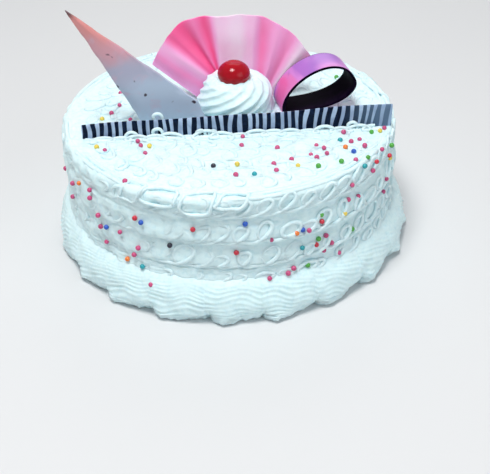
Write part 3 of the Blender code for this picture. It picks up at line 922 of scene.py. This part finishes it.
def makeFanMaterial():
    material, tree, shader, place, _ = newMaterial(
        "pinkChocolate", fan["grain"], Subsurface_Weight=fan["glow"], Subsurface_Radius=fan["glowColour"],
        Subsurface_Scale=fan["glowDepth"], Coat_Weight=fan["glaze"], Coat_Roughness=fan["glazeRoughness"])
    # The tint attribute carries the chocolate's pink and the painted highlight and shade of the pleats
    tintAndPaintedLight = addNode(tree, "ShaderNodeAttribute", {"attribute_name": "tintAndPaintedLight"}).outputs["Fac"]
    veins = addVeins(tree, place, *fan["veins"])
    marbled = addRange(tree, veins["Value"], (-fan["veinTint"], fan["veinTint"]))
    paint(shader, addRamp(tree, addMath(tree, "ADD", tintAndPaintedLight, marbled), fan["colours"], "LINEAR"))
    return material


def makeFan():
    columns = fan["fine"] * (len(fan["pleats"]) - 1) + 1
    rises = [0.0, 0.5] + [1 + j / fan["rows"] for j in range(fan["rows"] + 1)]
    points, tintsAndPaintedLight = [], []
    for side in (-1, 1):
        for column in range(columns):
            for rise in rises:
                point, tintAndPaintedLight = fanPoint(column / fan["fine"], rise)
                points.append(point + Vector((0, side * fan["thick"] / 2, 0)))
                tintsAndPaintedLight.append(tintAndPaintedLight)
    rows = len(rises)
    half = columns * rows
    front = gridFaces(columns, rows)
    faces = front + [tuple(half + j for j in reversed(face)) for face in front]
    rim = [c * rows + rows - 1 for c in range(columns)]
    rim += [(columns - 1) * rows + r for r in range(rows - 2, -1, -1)]
    rim += [c * rows for c in range(columns - 2, -1, -1)] + list(range(1, rows - 1))
    faces += [(a, b, half + b, half + a) for a, b in zip(rim, rim[1:] + rim[:1])]
    piece = makePiece("pinkFan", points, faces, [makeFanMaterial()], 60)
    piece.data.attributes.new("tintAndPaintedLight", "FLOAT", "POINT").data.foreach_set("value", tintsAndPaintedLight)
    finishPiece(piece, "pink_chocolate", "pink_fan")


# Rosette

rosette = {
    "at": (0.0050, 0.0030), "radius": 0.0232, "height": 0.0202, "around": 234, "levels": 64,
    # Reach and height from the foot up and in over the top
    "outline": ((0.97, 0.0), (1.01, 0.12), (1.0, 0.34), (0.955, 0.56), (0.88, 0.75),
                (0.76, 0.90), (0.61, 0.98), (0.44, 1.0), (0.22, 0.97), (0.0, 0.95)),
    "top": (6, 9),                  # points of the outline between which it turns in under the cherry
    "ridges": 12, "ridgeDepth": 0.032, "ridgeEdge": 1.5, "ridgeBase": 0.96,
    "twist": radians(125), "topTwist": 0.9,
    "turns": 1.5, "turnBulge": 0.030,
    "calm": 0.85,                   # how far the ridges flatten towards the middle
    "topRidge": (0.0008, 4, 6),     # their height on the shoulder, and the points between which it grows
    "fanClear": 0.0036,
}


def makeRosette():
    outline = rosette["outline"]
    points = []
    for level in range(rosette["levels"]):
        where = level / (rosette["levels"] - 1) * (len(outline) - 1)
        index = min(int(where), len(outline) - 2)
        reach, rise = [mix(low, high, where - index) for low, high in zip(outline[index], outline[index + 1])]
        inward = smooth(*rosette["top"], where)
        calm = 1 - rosette["calm"] * inward
        ridgeHeight, low, high = rosette["topRidge"]
        for step in range(rosette["around"]):
            angle = 2 * pi * step / rosette["around"]
            turned = angle + rosette["twist"] * (rise + rosette["topTwist"] * inward)
            ridge = 1 - abs(cos(rosette["ridges"] * angle / 2)) ** rosette["ridgeEdge"]
            bulge = rosette["turnBulge"] * cos(2 * pi * rosette["turns"] * rise - turned)
            proud = rosette["ridgeDepth"] * (ridge * 1.6 - 1.0) + bulge
            radius = rosette["radius"] * reach * (rosette["ridgeBase"] + calm * proud)
            x = rosette["at"][0] + radius * cos(turned)
            y = rosette["at"][1] + radius * sin(turned)
            z = baseHeight + rosette["height"] * rise
            z += ridgeHeight * (ridge - 0.5) * smooth(low, high, where) * calm
            points.append(Vector((x, min(y, fanFront(x, z) - rosette["fanClear"]), max(baseHeight, z))))
    faces = gridFaces(rosette["levels"], rosette["around"], wrapColumns=True)
    closeRing(points, faces, 0, rosette["around"], (*rosette["at"], baseHeight))
    finishPiece(makePiece("creamRosette", points, faces, [cream]), "whipped_cream", "cream_rosette")


# Cherry

cherry = {
    "at": (0.0044, 0.0022, 0.0999), "radius": 0.0097, "squash": 0.80,
    "dimple": (0.0009, 0.0022),     # depth and width
    "lump": (0.012, 120),           # size and scale
    "segments": (64, 40),
    "grain": (90.0, 0.00003, 0.10, 0.20),
    "colours": ((0.30, (0.30, 0.002, 0.010)), (0.70, (0.44, 0.004, 0.014))),
    "shine": 0.22, "glow": 0.1, "glowDepth": 0.004, "glowColour": (1.0, 0.15, 0.1),
    "glaze": 0.12, "glazeRoughness": 0.03,
}


def makeCherry():
    material, tree, shader, _, mask = newMaterial(
        "glazedCherry", cherry["grain"], Specular_IOR_Level=cherry["shine"], Subsurface_Weight=cherry["glow"],
        Subsurface_Radius=cherry["glowColour"], Subsurface_Scale=cherry["glowDepth"],
        Coat_Weight=cherry["glaze"], Coat_Roughness=cherry["glazeRoughness"])
    paint(shader, addRamp(tree, mask, cherry["colours"]))
    turns, levels = cherry["segments"]
    depth, width = cherry["dimple"]
    lump, scale = cherry["lump"]
    bm = bmesh.new()
    bmesh.ops.create_uvsphere(bm, u_segments=turns, v_segments=levels, radius=cherry["radius"])
    for vert in bm.verts:
        if vert.co.z > 0:
            vert.co.z -= depth * exp(-(hypot(vert.co.x, vert.co.y) / width) ** 2)
        vert.co *= 1 + lump * noise.noise(vert.co * scale)
        vert.co.z *= cherry["squash"]
        vert.co += Vector(cherry["at"])
    mesh = bpy.data.meshes.new("cherryGlazed")
    bm.to_mesh(mesh)
    bm.free()
    mesh.shade_smooth()
    mesh.materials.append(material)
    finishPiece(newPiece("cherryGlazed", mesh), "glazed_cherry", "cherry")


makeRosette()
makeCherry()
makeFan()
print("rosette, cherry and fan ready")


# Marbled shard

shard = {
    "y": -0.0140, "thick": 0.0020, "inset": 0.92,
    # x and z, where None is the foot
    "corners": ((-0.0865, 0.1490), (-0.0498, None), (-0.0122, None), (-0.0172, 0.0914)),
    # From the front's middle over the edge to the back's: depth and reach
    "section": ((-0.5, 0.3), (-0.5, 0.6), (-0.5, 0.97), (-0.3, 1.0),
                (0.3, 1.0), (0.5, 0.97), (0.5, 0.6), (0.5, 0.3)),
    "steps": 26,
    "rough": (0.0004, 260), "bow": (0.0004, 30),    # sizes and scales
    "grain": (150.0, 0.0001, 0.28, 0.45),
    "glaze": 0.2, "glazeRoughness": 0.25,
    "veins": (26.0, 1.2), "veinRise": 0.16,
    # From the foot to the dark tip
    "colours": ((0.0, (0.50, 0.60, 0.74)), (0.32, (0.45, 0.53, 0.67)), (0.52, (0.42, 0.41, 0.54)),
                (0.70, (0.64, 0.32, 0.38)), (0.90, (0.72, 0.27, 0.26)), (0.975, (0.08, 0.03, 0.03))),
    "rosy": (0.60, 0.40, 0.52), "rosyVeins": (0.52, 0.80, 0.7),
    "speck": (0.05, 0.03, 0.05), "specks": (0.70, 0.745), "speckScale": 150.0,
}


def makeShardMaterial():
    material, tree, shader, place, _ = newMaterial(
        "marbledChocolate", shard["grain"], Coat_Weight=shard["glaze"],
        Coat_Roughness=shard["glazeRoughness"])
    veins = addVeins(tree, place, *shard["veins"])
    split = addNode(tree, "ShaderNodeSeparateXYZ", Vector=place)
    heights = [corner.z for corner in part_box("marbled_shard")]
    height = addRange(tree, split.outputs["Z"], (0.0, 1.0), heights)
    marbled = addRange(tree, veins["Value"], (-shard["veinRise"], shard["veinRise"]))
    blend = addRamp(tree, addMath(tree, "ADD", height, marbled), shard["colours"])
    tinted = addMix(tree, addMask(tree, veins["Fine"], *shard["rosyVeins"]), blend, shard["rosy"])
    spots = addNode(tree, "ShaderNodeTexNoise", Vector=place, Scale=shard["speckScale"], Detail=1.0)
    specks = addMask(tree, spots.outputs["Fac"], *shard["specks"])
    paint(shader, addMix(tree, specks, tinted, shard["speck"]))
    return material


def makeShard():
    corners = [(x, baseHeight if z is None else z) for x, z in shard["corners"]]
    outline = []
    for (x0, z0), (x1, z1) in zip(corners, corners[1:] + corners[:1]):
        shares = [step / shard["steps"] for step in range(shard["steps"])]
        outline += [(mix(x0, x1, share), mix(z0, z1, share)) for share in shares]
    count = len(outline)
    middleX, middleZ = [sum(values) / count for values in zip(*outline)]
    left, high = corners[0][0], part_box("marbled_shard")[1].z
    size, scale = shard["rough"]
    bowSize, bowScale = shard["bow"]
    thick = shard["thick"] * shard["inset"]
    points = []
    for depth, reach in shard["section"]:
        for x, z in outline:
            rough = size * uneven(x * scale, z * scale, 0.5) * (reach > 0.9) * (z > baseHeight + 0.001)
            px = mix(middleX, x, reach) + rough
            pz = max(baseHeight, mix(middleZ, z, reach) + rough)
            y = shard["y"] + depth * thick + bowSize * uneven(px * bowScale, pz * bowScale, 3.0)
            points.append(Vector((max(px, left), y, min(pz, high))))
    faces = gridFaces(len(shard["section"]), count, wrapColumns=True)
    for first, side in ((0, -0.5), (len(points) - count, 0.5)):
        closeRing(points, faces, first, count, (middleX, shard["y"] + side * thick, middleZ))
    piece = makePiece("marbledShard", points, faces, [makeShardMaterial()], 50)
    finishPiece(piece, "marbled_chocolate", "marbled_shard")


# Curl

curl = {
    "tip": (0.0330, 0.0776),        # x and z of the point where the band's ends meet
    "tilt": radians(26.3), "length": 0.0474,
    "upper": (0.0180, 0.80, 0.35),  # fatness, how blunt its round end is, how pointed its tip is
    "lower": (0.0112, 1.00, 1.00),
    "thick": 0.0014, "tipThick": (0.8, 9),      # how much thicker it is at the tip, over so many steps
    "nearY": -0.0090, "width": 0.0195, "skew": -0.0042, "steps": 120,
    "across": (0.0, 0.03, 0.12, 0.3, 0.5, 0.7, 0.88, 0.97, 1.0), "edge": 0.12,
    "grain": (160.0, 0.0001, 0.26, 0.42), "glaze": 0.25,
    "veins": (32.0, 0.8),
    "colours": ((0.36, (0.38, 0.15, 0.56)), (0.46, (0.60, 0.23, 0.64)), (0.54, (0.70, 0.19, 0.50)),
                (0.66, (0.76, 0.12, 0.38))),
    "streak": (0.22, 0.10, 0.50), "streaks": (0.64, 0.80, 0.6),
    # The inside face and the edges: dark chocolate, its colour deepened to near black as painted shade inside
    # the loop
    "insideGrain": (220.0, 0.00015, 0.40, 0.60), "insideShine": 0.02,
    "insideDarkAndPaintedShade": ((0.35, (0.003, 0.001, 0.008)), (0.7, (0.008, 0.003, 0.014))),
}


def curlOutline(turn):
    # A point on the loop, which is pointed at its lower end and fuller above.
    fatness, blunt, pointed = curl["upper"] if sin(turn) > 0 else curl["lower"]
    along = curl["length"] / 2 * (1 - cos(turn))
    across = fatness * signedPower(sin(turn), blunt) * abs(sin(turn / 2)) ** pointed
    slope, rise = cos(curl["tilt"]), sin(curl["tilt"])
    return Vector(curl["tip"]) + Vector((along * slope - across * rise, along * rise + across * slope))


def makeCurlMaterials():
    outside, tree, shader, place, _ = newMaterial(
        "magentaMarble", curl["grain"], Coat_Weight=curl["glaze"], Coat_Roughness=0.25)
    veins = addVeins(tree, place, *curl["veins"])
    colour = addRamp(tree, veins["Value"], curl["colours"])
    paint(shader, addMix(tree, addMask(tree, veins["Fine"], *curl["streaks"]), colour, curl["streak"]))
    # Near black: dark chocolate and painted shade inside the loop
    inside, tree, shader, _, mask = newMaterial(
        "darkChocolateAndPaintedShade", curl["insideGrain"], Specular_IOR_Level=curl["insideShine"])
    paint(shader, addRamp(tree, mask, curl["insideDarkAndPaintedShade"]))
    return [outside, inside]


def makeCurl():
    across = curl["across"]
    section = [("outer", a) for a in across] + [("inner", a) for a in reversed(across)]
    thicker, fades = curl["tipThick"]
    points = []
    for step in range(curl["steps"]):
        turn = 2 * pi * (step + 0.5) / curl["steps"]
        outer = curlOutline(turn)
        ahead = (curlOutline(turn + 0.01) - curlOutline(turn - 0.01)).normalized()
        thick = curl["thick"] * (1 + thicker * exp(-((step + 0.5) / fades) ** 2))
        inner = outer + Vector((ahead.y, -ahead.x)) * thick
        for side, a in section:
            first, second = (outer, inner) if side == "outer" else (inner, outer)
            x, z = first.lerp(second, curl["edge"] if a in (0.0, 1.0) else 0.0)
            y = curl["nearY"] + curl["width"] * a
            points.append(Vector((x + curl["skew"] * a, y, max(baseHeight, z))))
    faces = gridFaces(curl["steps"], len(section), wrapColumns=True, wrapRows=True)
    piece = makePiece("curlBand", points, faces, makeCurlMaterials(), 50)
    for index, face in enumerate(piece.data.polygons):
        face.material_index = 0 if index % len(section) in range(1, len(across) - 2) else 1
    finishPiece(piece, "magenta_marbled_chocolate", "curl_band")


# Striped strip

strip = {
    "left": (-0.0840, -0.0295), "right": (0.0945, -0.0262), "topLeft": 0.0862, "topRight": 0.0912,
    "bend": (0.0006, 9), "topBend": (0.0003, 17),   # how far it waves, and how often
    "thick": 0.0016, "relief": 0.00012, "thinner": 0.00015, "edge": 0.0003,
    "stripes": 37, "columns": 320,
    "levels": (0.0, 0.25, 0.5, 0.75, 0.96, 1.0),
    "drift": 0.008,                 # how far the stripes waver, as a share of the length
    "slant": (-0.010, (0.58, 0.90)),        # how far they lean, and the places between which that grows
    "taper": (-0.28, (0.55, 0.85)),         # the same for how much they narrow towards the foot
    "smear": (0.50, (0.84, 0.98)),          # and for how much they run into each other
    "smeared": (0.22, 0.36, 0.55),
    "stripeEdge": (0.40, 0.52),
    "grain": (200.0, 0.0001, 0.30, 0.45), "shine": 0.10,
    "veins": (70.0, 1.5),
    "pale": ((0.35, (0.30, 0.39, 0.56)), (0.65, (0.44, 0.56, 0.74))),
    "navy": ((0.35, (0.0, 0.004, 0.018)), (0.7, (0.004, 0.014, 0.045))),
}


def stripY(share):
    size, often = strip["bend"]
    return mix(strip["left"][1], strip["right"][1], share) + size * sin(often * share)


def stripShare(x):
    return (x - strip["left"][0]) / (strip["right"][0] - strip["left"][0])


def makeStripMaterial():
    material, tree, shader, place, _ = newMaterial(
        "stripedChocolate", strip["grain"], Specular_IOR_Level=strip["shine"])
    along = addNode(tree, "ShaderNodeUVMap", {"uv_map": "strip"}).outputs["UV"]
    split = addNode(tree, "ShaderNodeSeparateXYZ", Vector=along).outputs
    flat = addNode(tree, "ShaderNodeVectorMath", {"operation": "MULTIPLY"}, (along, (1.0, 0.03, 0.0)))
    wavy = addNode(tree, "ShaderNodeTexNoise", Vector=flat.outputs[0], Scale=12.0, Detail=1.0)
    drift = addRange(tree, wavy.outputs["Fac"], (-strip["drift"], strip["drift"]), (0.3, 0.7))
    slant, taper, smear = [
        addRange(tree, split["X"], (0.0, most), between)
        for most, between in (strip["slant"], strip["taper"], strip["smear"])]
    leaning = addMath(tree, "ADD", split["X"], addMath(tree, "MULTIPLY", slant, split["Y"]))
    placed = addMath(tree, "ADD", leaning, drift)
    wave = addMath(tree, "SINE", addMath(tree, "MULTIPLY", placed, 2 * pi * strip["stripes"]))
    half = addRange(tree, wave, (0.0, 1.0), (-1.0, 1.0))
    under = addMath(tree, "SUBTRACT", split["Y"], 1.0)
    closing = addMath(tree, "MULTIPLY_ADD", taper, under, half)
    veins = addVeins(tree, place, *strip["veins"])
    pale = addRamp(tree, veins["Value"], strip["pale"])
    navy = addRamp(tree, veins["Fine"], strip["navy"])
    striped = addMix(tree, addMask(tree, closing, *strip["stripeEdge"]), pale, navy)
    paint(shader, addMix(tree, smear, striped, strip["smeared"]))
    return material


def makeStrip():
    points, uvs = [], []
    levels = strip["levels"]
    section = [(-1, level) for level in levels] + [(1, level) for level in reversed(levels)]
    size, often = strip["topBend"]
    for column in range(strip["columns"] + 1):
        share = column / strip["columns"]
        x = mix(strip["left"][0], strip["right"][0], share)
        top = mix(strip["topLeft"], strip["topRight"], share) + size * sin(often * share)
        ridge = strip["relief"] * sin(2 * pi * strip["stripes"] * share)
        for side, level in section:
            inset = strip["edge"] if level == 1.0 else 0.0
            half = strip["thick"] / 2 - inset - strip["thinner"] + ridge
            points.append(Vector((x, stripY(share) + side * half, mix(baseHeight, top, level))))
            uvs.append((share, level))
    count = len(section)
    faces = gridFaces(strip["columns"] + 1, count, wrapColumns=True)
    faces += [tuple(range(count)), tuple(range(len(points) - count, len(points)))]
    piece = makePiece("stripedStrip", points, faces, [makeStripMaterial()], 40)
    layer = piece.data.uv_layers.new(name="strip")
    for loop in piece.data.loops:
        layer.data[loop.index].uv = uvs[loop.vertex_index]
    finishPiece(piece, "striped_chocolate", "striped_strip")


# Cream heaped up along the foot of the striped strip, with loops that lean on it

stripFoot = {
    "from": -0.0820, "to": 0.0880,
    "bank": {"steps": 120, "radius": 0.0024, "sunk": 0.0011, "forward": 0.0034, "varies": 0.35,
             "ends": (0.6, 5)},
    "loops": {"pitch": 0.0098, "width": 0.42, "varies": 0.30, "reach": 0.0030, "rise": 0.0024,
              "forward": 0.0026, "height": 0.0002},
    "radius": 0.00100,
    # Rings on their own, in mm: x of the middle, how far behind the strip, height above the top, radius
    "rings": ((-40.6, -1.9, 2.6, 2.9), (-40.2, 2.4, 10.2, 2.7), (-15.9, -2.0, 1.2, 2.5),
              (-8.9, -2.0, 1.0, 2.2), (71.8, -2.0, 1.6, 2.6), (-56.0, -2.2, 0.8, 3.4)),
    "ringSteps": 26,
}


def stripBank():
    look = stripFoot["bank"]
    less, ending = look["ends"]
    bank = []
    for step in range(look["steps"] + 1):
        x = mix(stripFoot["from"], stripFoot["to"], step / look["steps"])
        size = 1 + look["varies"] * uneven(x * 120, 0.5)
        size -= less * (1 - smooth(0, ending, min(step, look["steps"] - step)))
        sunk = look["sunk"] * (1 + uneven(x * 60, 3))
        bank.append((Vector((x, stripY(stripShare(x)) - look["forward"], topHeight - sunk)), size))
    return bank


def stripLoops():
    look = stripFoot["loops"]
    loops = []
    count = int((stripFoot["to"] - stripFoot["from"]) / look["pitch"])
    for step in range(count * strand["samples"] + 1):
        t = step / strand["samples"]
        size = 1 + look["varies"] * uneven(t * 0.8, 4.4)
        x = stripFoot["from"] + look["pitch"] * (t + look["width"] * size * sin(2 * pi * t))
        lift = (0.5 + 0.5 * cos(2 * pi * t)) * size
        y = stripY(stripShare(x)) - look["forward"] - look["reach"] * (1 - lift)
        height = look["height"] + look["rise"] * lift * lift * (0.75 + uneven(t * 0.6, 8.1))
        loops.append((Vector((x, y, topHeight + height)), 1.0))
    return loops


def stripRing(x, aside, height, radius):
    ring = []
    y = stripY(stripShare(x / 1000)) + aside / 1000
    for step in range(stripFoot["ringSteps"]):
        turn = 2 * pi * step / stripFoot["ringSteps"]
        across = radius * (1 + 0.12 * sin(2 * turn + x)) * cos(turn)
        up = max(-0.0004, (height + radius * sin(turn)) / 1000)
        ring.append((Vector(((x + across) / 1000, y, topHeight + up)), 0.85 + 0.15 * uneven(x, turn)))
    return ring


def makeStripFoot():
    sweepStrands("stripBank", [(stripBank(), False)], stripFoot["bank"]["radius"])
    rings = [(stripRing(*ring), True) for ring in stripFoot["rings"]]
    sweepStrands("stripLoops", [(stripLoops(), False)] + rings, stripFoot["radius"])


makeShard()
makeCurl()
makeStrip()
makeStripFoot()
print("shard, curl and strip ready")


# Sprinkles, one piece for each colour

sprinkles = {
    "radius": 0.0015,
    "uneven": 0.16,
    "sink": 0.0008,                 # how far the middle lies above the cream
    "spacing": 0.0031,
    "seed": 5, "sizeSeed": 3,
    "low": (0.0231, 0.0070, 0.0015),        # below this height they lie on the border, so far out and up
    "rimIn": 0.004,                 # how far in from the rim those at its height lie
    "sideHeights": (29, 74), "topRadius": 90,       # in mm, where those at the back may lie
    "tries": 40,
    # Room that others take up: half depth with from and to, as a share for the strip and x for the shard,
    # then the radius of the rosette, and the curl's x from and to and y from and to
    "inStrip": (0.0028, -0.02, 1.02), "inShard": (0.003, -0.052, -0.009), "inRosette": 0.0262,
    "inCurl": (0.031, 0.079, -0.011, 0.012),
    "grain": (900.0, 0.00008, 0.25, 0.42), "darker": 0.72,
    "colours": {
        "Pink": (0.62, 0.07, 0.22), "Red": (0.62, 0.02, 0.05), "Blue": (0.01, 0.10, 0.55),
        "Teal": (0.01, 0.36, 0.42), "Green": (0.08, 0.42, 0.05), "Yellow": (0.88, 0.68, 0.10),
        "Orange": (0.88, 0.22, 0.03), "Black": (0.01, 0.01, 0.03),
    },
    # On the side that the photo shows, angle and height in mm
    "side": {
        "Pink": ((-36, 80), (-51, 64), (-51, 59), (-47, 51), (-47, 43), (-38, 46), (-45, 34), (-31, 40),
                 (-33, 34), (-26, 19), (52, 69), (64, 52), (41, 69), (63, 44), (45, 58), (40, 60), (12, 50),
                 (24, 52), (31, 43), (30, 34), (33, 37), (36, 28), (11, 26), (17, 27), (19, 29)),
        "Red": ((-31, 60), (-12, 59), (1, 44), (39, 58), (29, 54), (27, 40)),
        "Blue": ((-44, 45), (-29, 58), (4, 62), (22, 53)),
        "Teal": ((-30, 28), (22, 41)),
        "Green": ((29, 58), (42, 39), (28, 43), (24, 28)),
        "Yellow": ((38, 53),),
        "Orange": ((-36, 29), (20, 52)),
        "Black": ((-20, 46), (37, 35)),
    },
    # On the top, x and y in mm
    "top": {
        "Pink": ((-66, 10), (-70, 0), (-58, -9), (-70, -44), (-52, -35), (-50, -40), (-47, -49), (8, -34),
                 (7, -44), (3, -75), (27, -48), (24, -65), (25, -72), (34, -61), (49, -47), (53, -50),
                 (45, -57), (48, -60), (54, -56), (66, -33), (69, -44), (74, -42), (76, -49), (69, -64),
                 (90, -30), (85, -54)),
        "Red": ((88, -61), (80, -67)),
        "Blue": ((69, -55), (12, 72), (-40, 60)),
        "Teal": ((13, -75), (63, -42), (73, -71), (48, 66)),
        "Green": ((61, -65), (76, -62), (82, -34), (48, -69), (91, -50), (-18, 76), (70, 38)),
        "Yellow": ((-75, -7), (-75, -40), (-45, -41), (4, -64), (37, -68), (87, -33), (30, 74), (-66, 34)),
        "Orange": ((65, -50), (-8, 62)),
        "Black": ((-9, -65),),
    },
    # Round the side that the photo hides: middle angle and height, spreads of both, and what lies there
    "hidden": (
        (92, 55, 10, 9, "Pink Yellow Teal Pink Pink"), (120, 50, 12, 11, "Pink Red Green Pink Pink"),
        (150, 53, 12, 11, "Pink Blue Pink Orange Pink"), (-178, 50, 12, 11, "Pink Teal Pink Green Pink"),
        (-145, 52, 12, 11, "Pink Yellow Red Pink Pink"), (-110, 50, 12, 11, "Blue Pink Pink Green Pink"),
        (-76, 52, 8, 10, "Pink Pink Orange Pink"),
    ),
    # On the back of the top: middle x and y, spread and what lies there
    "back": ((66, 42, 10, "Pink Pink Pink"), (28, 66, 12, "Pink Pink Pink"), (-30, 64, 12, "Pink Pink Pink"),
             (-68, 24, 8, "Pink Pink")),
}


def makeSprinkleTree():
    # Puts a small ball at every point, each sized a little otherwise.
    tree, given, end = newGeometryTree(
        "scatteredSprinkles", ("Ball Radius", "Float"), ("Uneven", "Float"), ("Seed", "Int"))
    ball = addNode(tree, "GeometryNodeMeshIcoSphere", Radius=given["Ball Radius"], Subdivisions=3)
    soft = addNode(tree, "GeometryNodeSetShadeSmooth", Geometry=ball.outputs["Mesh"])
    size = addNode(tree, "FunctionNodeRandomValue", {"data_type": "FLOAT"}, Seed=given["Seed"])
    join(tree, addMath(tree, "SUBTRACT", 1.0, given["Uneven"]), size.inputs[2])
    join(tree, 1.0, size.inputs[3])
    placed = addNode(tree, "GeometryNodeInstanceOnPoints", Points=given["Geometry"],
                     Instance=soft.outputs["Geometry"], Scale=size.outputs[1])
    endTree(tree, placed.outputs["Instances"], given["Material"], end)
    return tree


def blocked(x, y):
    # True where a sprinkle on the top would lie in another piece.
    share = stripShare(x)
    half, low, high = sprinkles["inStrip"]
    inStrip = abs(y - mix(strip["left"][1], strip["right"][1], share)) < half and low < share < high
    half, low, high = sprinkles["inShard"]
    inShard = abs(y - shard["y"]) < half and low < x < high
    inRosette = hypot(x - rosette["at"][0], y - rosette["at"][1]) < sprinkles["inRosette"]
    left, right, near, far = sprinkles["inCurl"]
    inCurl = left < x < right and near < y < far
    return inStrip or inShard or inRosette or inCurl


def sprinkleOnSide(angle, height):
    angle, z = radians(angle), height / 1000
    low, out, up = sprinkles["low"]
    if z > topHeight:
        return around(coat["rimRadius"] - sprinkles["rimIn"], angle, topHeight + sprinkles["sink"])
    if z < low:
        return around(border["innerRadius"] + out, angle, z + up)
    point = around(sideRadius(angle, z), angle, z)
    relief = lumps(point) + panelRelief(angle, coat["rimRadius"], z)
    return point + around(relief + sprinkles["sink"], angle, 0)


def sprinkleOnTop(x, y):
    x, y = x / 1000, y / 1000
    return None if blocked(x, y) else Vector((x, y, topHeight + sprinkles["sink"]))


def laySprinkles():
    # The sprinkles' places by colour.
    draw = random.Random(sprinkles["seed"])
    taken, byColour = [], {name: [] for name in sprinkles["colours"]}

    def lay(colour, point):
        if not point or any((point - other).length <= sprinkles["spacing"] for other in taken):
            return False
        taken.append(point)
        byColour[colour].append(point)
        return True

    def scatter(colours, tryPlace):
        for colour in colours.split():
            for _ in range(sprinkles["tries"]):
                if lay(colour, tryPlace()):
                    break

    for placed, place in (("side", sprinkleOnSide), ("top", sprinkleOnTop)):
        for colour, places in sprinkles[placed].items():
            for first, second in places:
                lay(colour, place(first, second))
    for middle, height, spread, rise, colours in sprinkles["hidden"]:

        def aroundSide():
            z = draw.gauss(height, rise)
            low, high = sprinkles["sideHeights"]
            return sprinkleOnSide(draw.gauss(middle, spread), z) if low < z < high else None

        scatter(colours, aroundSide)
    for middleX, middleY, spread, colours in sprinkles["back"]:

        def overTop():
            x, y = draw.gauss(middleX, spread), draw.gauss(middleY, spread)
            return sprinkleOnTop(x, y) if hypot(x, y) < sprinkles["topRadius"] else None

        scatter(colours, overTop)
    return byColour


def makeSprinkles():
    tree = makeSprinkleTree()
    byColour = laySprinkles()
    for name, colour in sprinkles["colours"].items():
        material, nodes, shader, _, mask = newMaterial(
            "sugar" + name, sprinkles["grain"], Subsurface_Weight=0.1, Subsurface_Scale=0.001,
            Coat_Weight=0.3, Coat_Roughness=0.2)
        darker = tuple(sprinkles["darker"] * channel for channel in colour)
        paint(shader, addRamp(nodes, mask, ((0.3, darker), (0.6, colour))))
        mesh = bpy.data.meshes.new("sprinkles" + name)
        mesh.from_pydata([tuple(point) for point in byColour[name]], [], [])
        piece = newPiece("sprinkles" + name, mesh)
        runTree(piece, tree, {"Ball Radius": sprinkles["radius"], "Uneven": sprinkles["uneven"],
                              "Seed": sprinkles["sizeSeed"], "Material": material})
        finishPiece(piece, "whipped_cream")


makeSprinkles()
print("sprinkles ready")


# Floor, light and camera

room = {"floor": 8.0, "floorColour": (0.68, 0.69, 0.70), "floorRoughness": 0.7,
        "worldColour": (0.96, 0.98, 1.0), "worldLight": 0.36, "litHeight": 0.05}
lights = (
    # Name, place, size, watts, colour
    ("keyLight", (-0.20, -0.30, 1.35), 0.45, 15.5, (1.0, 0.99, 0.98)),
    ("fillLight", (0.95, -0.85, 0.70), 0.90, 3.2, (0.96, 0.97, 1.0)),
    ("backLight", (0.15, 1.10, 0.95), 0.80, 2.6, (1.0, 1.0, 1.0)),
)
photo = {"width": 490, "focalPixels": 909.0, "distance": 0.594, "rise": radians(34.5), "pitch": radians(35.9),
         "yaw": radians(0.97), "roll": radians(-1.57), "sensor": 36.0}


def makeRoom():
    size = room["floor"] / 2
    corners = [(-size, -size, 0), (size, -size, 0), (size, size, 0), (-size, size, 0)]
    material, _, shader, *_ = newMaterial("paleFloor", Roughness=room["floorRoughness"])
    shader.inputs["Base Color"].default_value = (*room["floorColour"], 1)
    ground = makePiece("paleFloorPlane", corners, [(0, 1, 2, 3)], [material], closed=False)
    world = bpy.data.worlds.new("softRoom")
    world.use_nodes = True
    sky = world.node_tree.nodes["Background"]
    sky.inputs["Color"].default_value = (*room["worldColour"], 1)
    sky.inputs["Strength"].default_value = room["worldLight"]
    bpy.context.scene.world = world
    for name, place, size, watts, colour in lights:
        lamp = bpy.data.lights.new(name, "AREA")
        lamp.energy = watts
        lamp.size = size
        lamp.color = colour
        holder = newPiece(name, lamp)
        holder.location = place
        towards = Vector((0, 0, room["litHeight"])) - Vector(place)
        holder.rotation_euler = towards.to_track_quat("-Z", "Y").to_euler()


def makeCamera():
    # Stands where the photo was taken from, worked out from the round rims in it.
    eye = around(photo["distance"] * cos(photo["rise"]), 0, photo["distance"] * sin(photo["rise"]))
    level = cos(photo["pitch"])
    ahead = Vector((sin(photo["yaw"]) * level, cos(photo["yaw"]) * level, -sin(photo["pitch"])))
    aside = ahead.cross(Vector((0, 0, 1))).normalized()
    above = aside.cross(ahead)
    right = cos(photo["roll"]) * aside + sin(photo["roll"]) * above
    up = -sin(photo["roll"]) * aside + cos(photo["roll"]) * above
    lens = bpy.data.cameras.new("photoCamera")
    lens.sensor_width = photo["sensor"]
    lens.lens = photo["focalPixels"] / photo["width"] * photo["sensor"]
    lens.clip_start = 0.01
    holder = newPiece("photoCamera", lens)
    turn = Matrix((right, up, -ahead)).transposed().to_4x4()
    holder.matrix_world = Matrix.Translation(eye) @ turn
    bpy.context.scene.camera = holder


makeRoom()
makeCamera()
bpy.context.scene.view_settings.view_transform = "Standard"
print("room and camera ready")
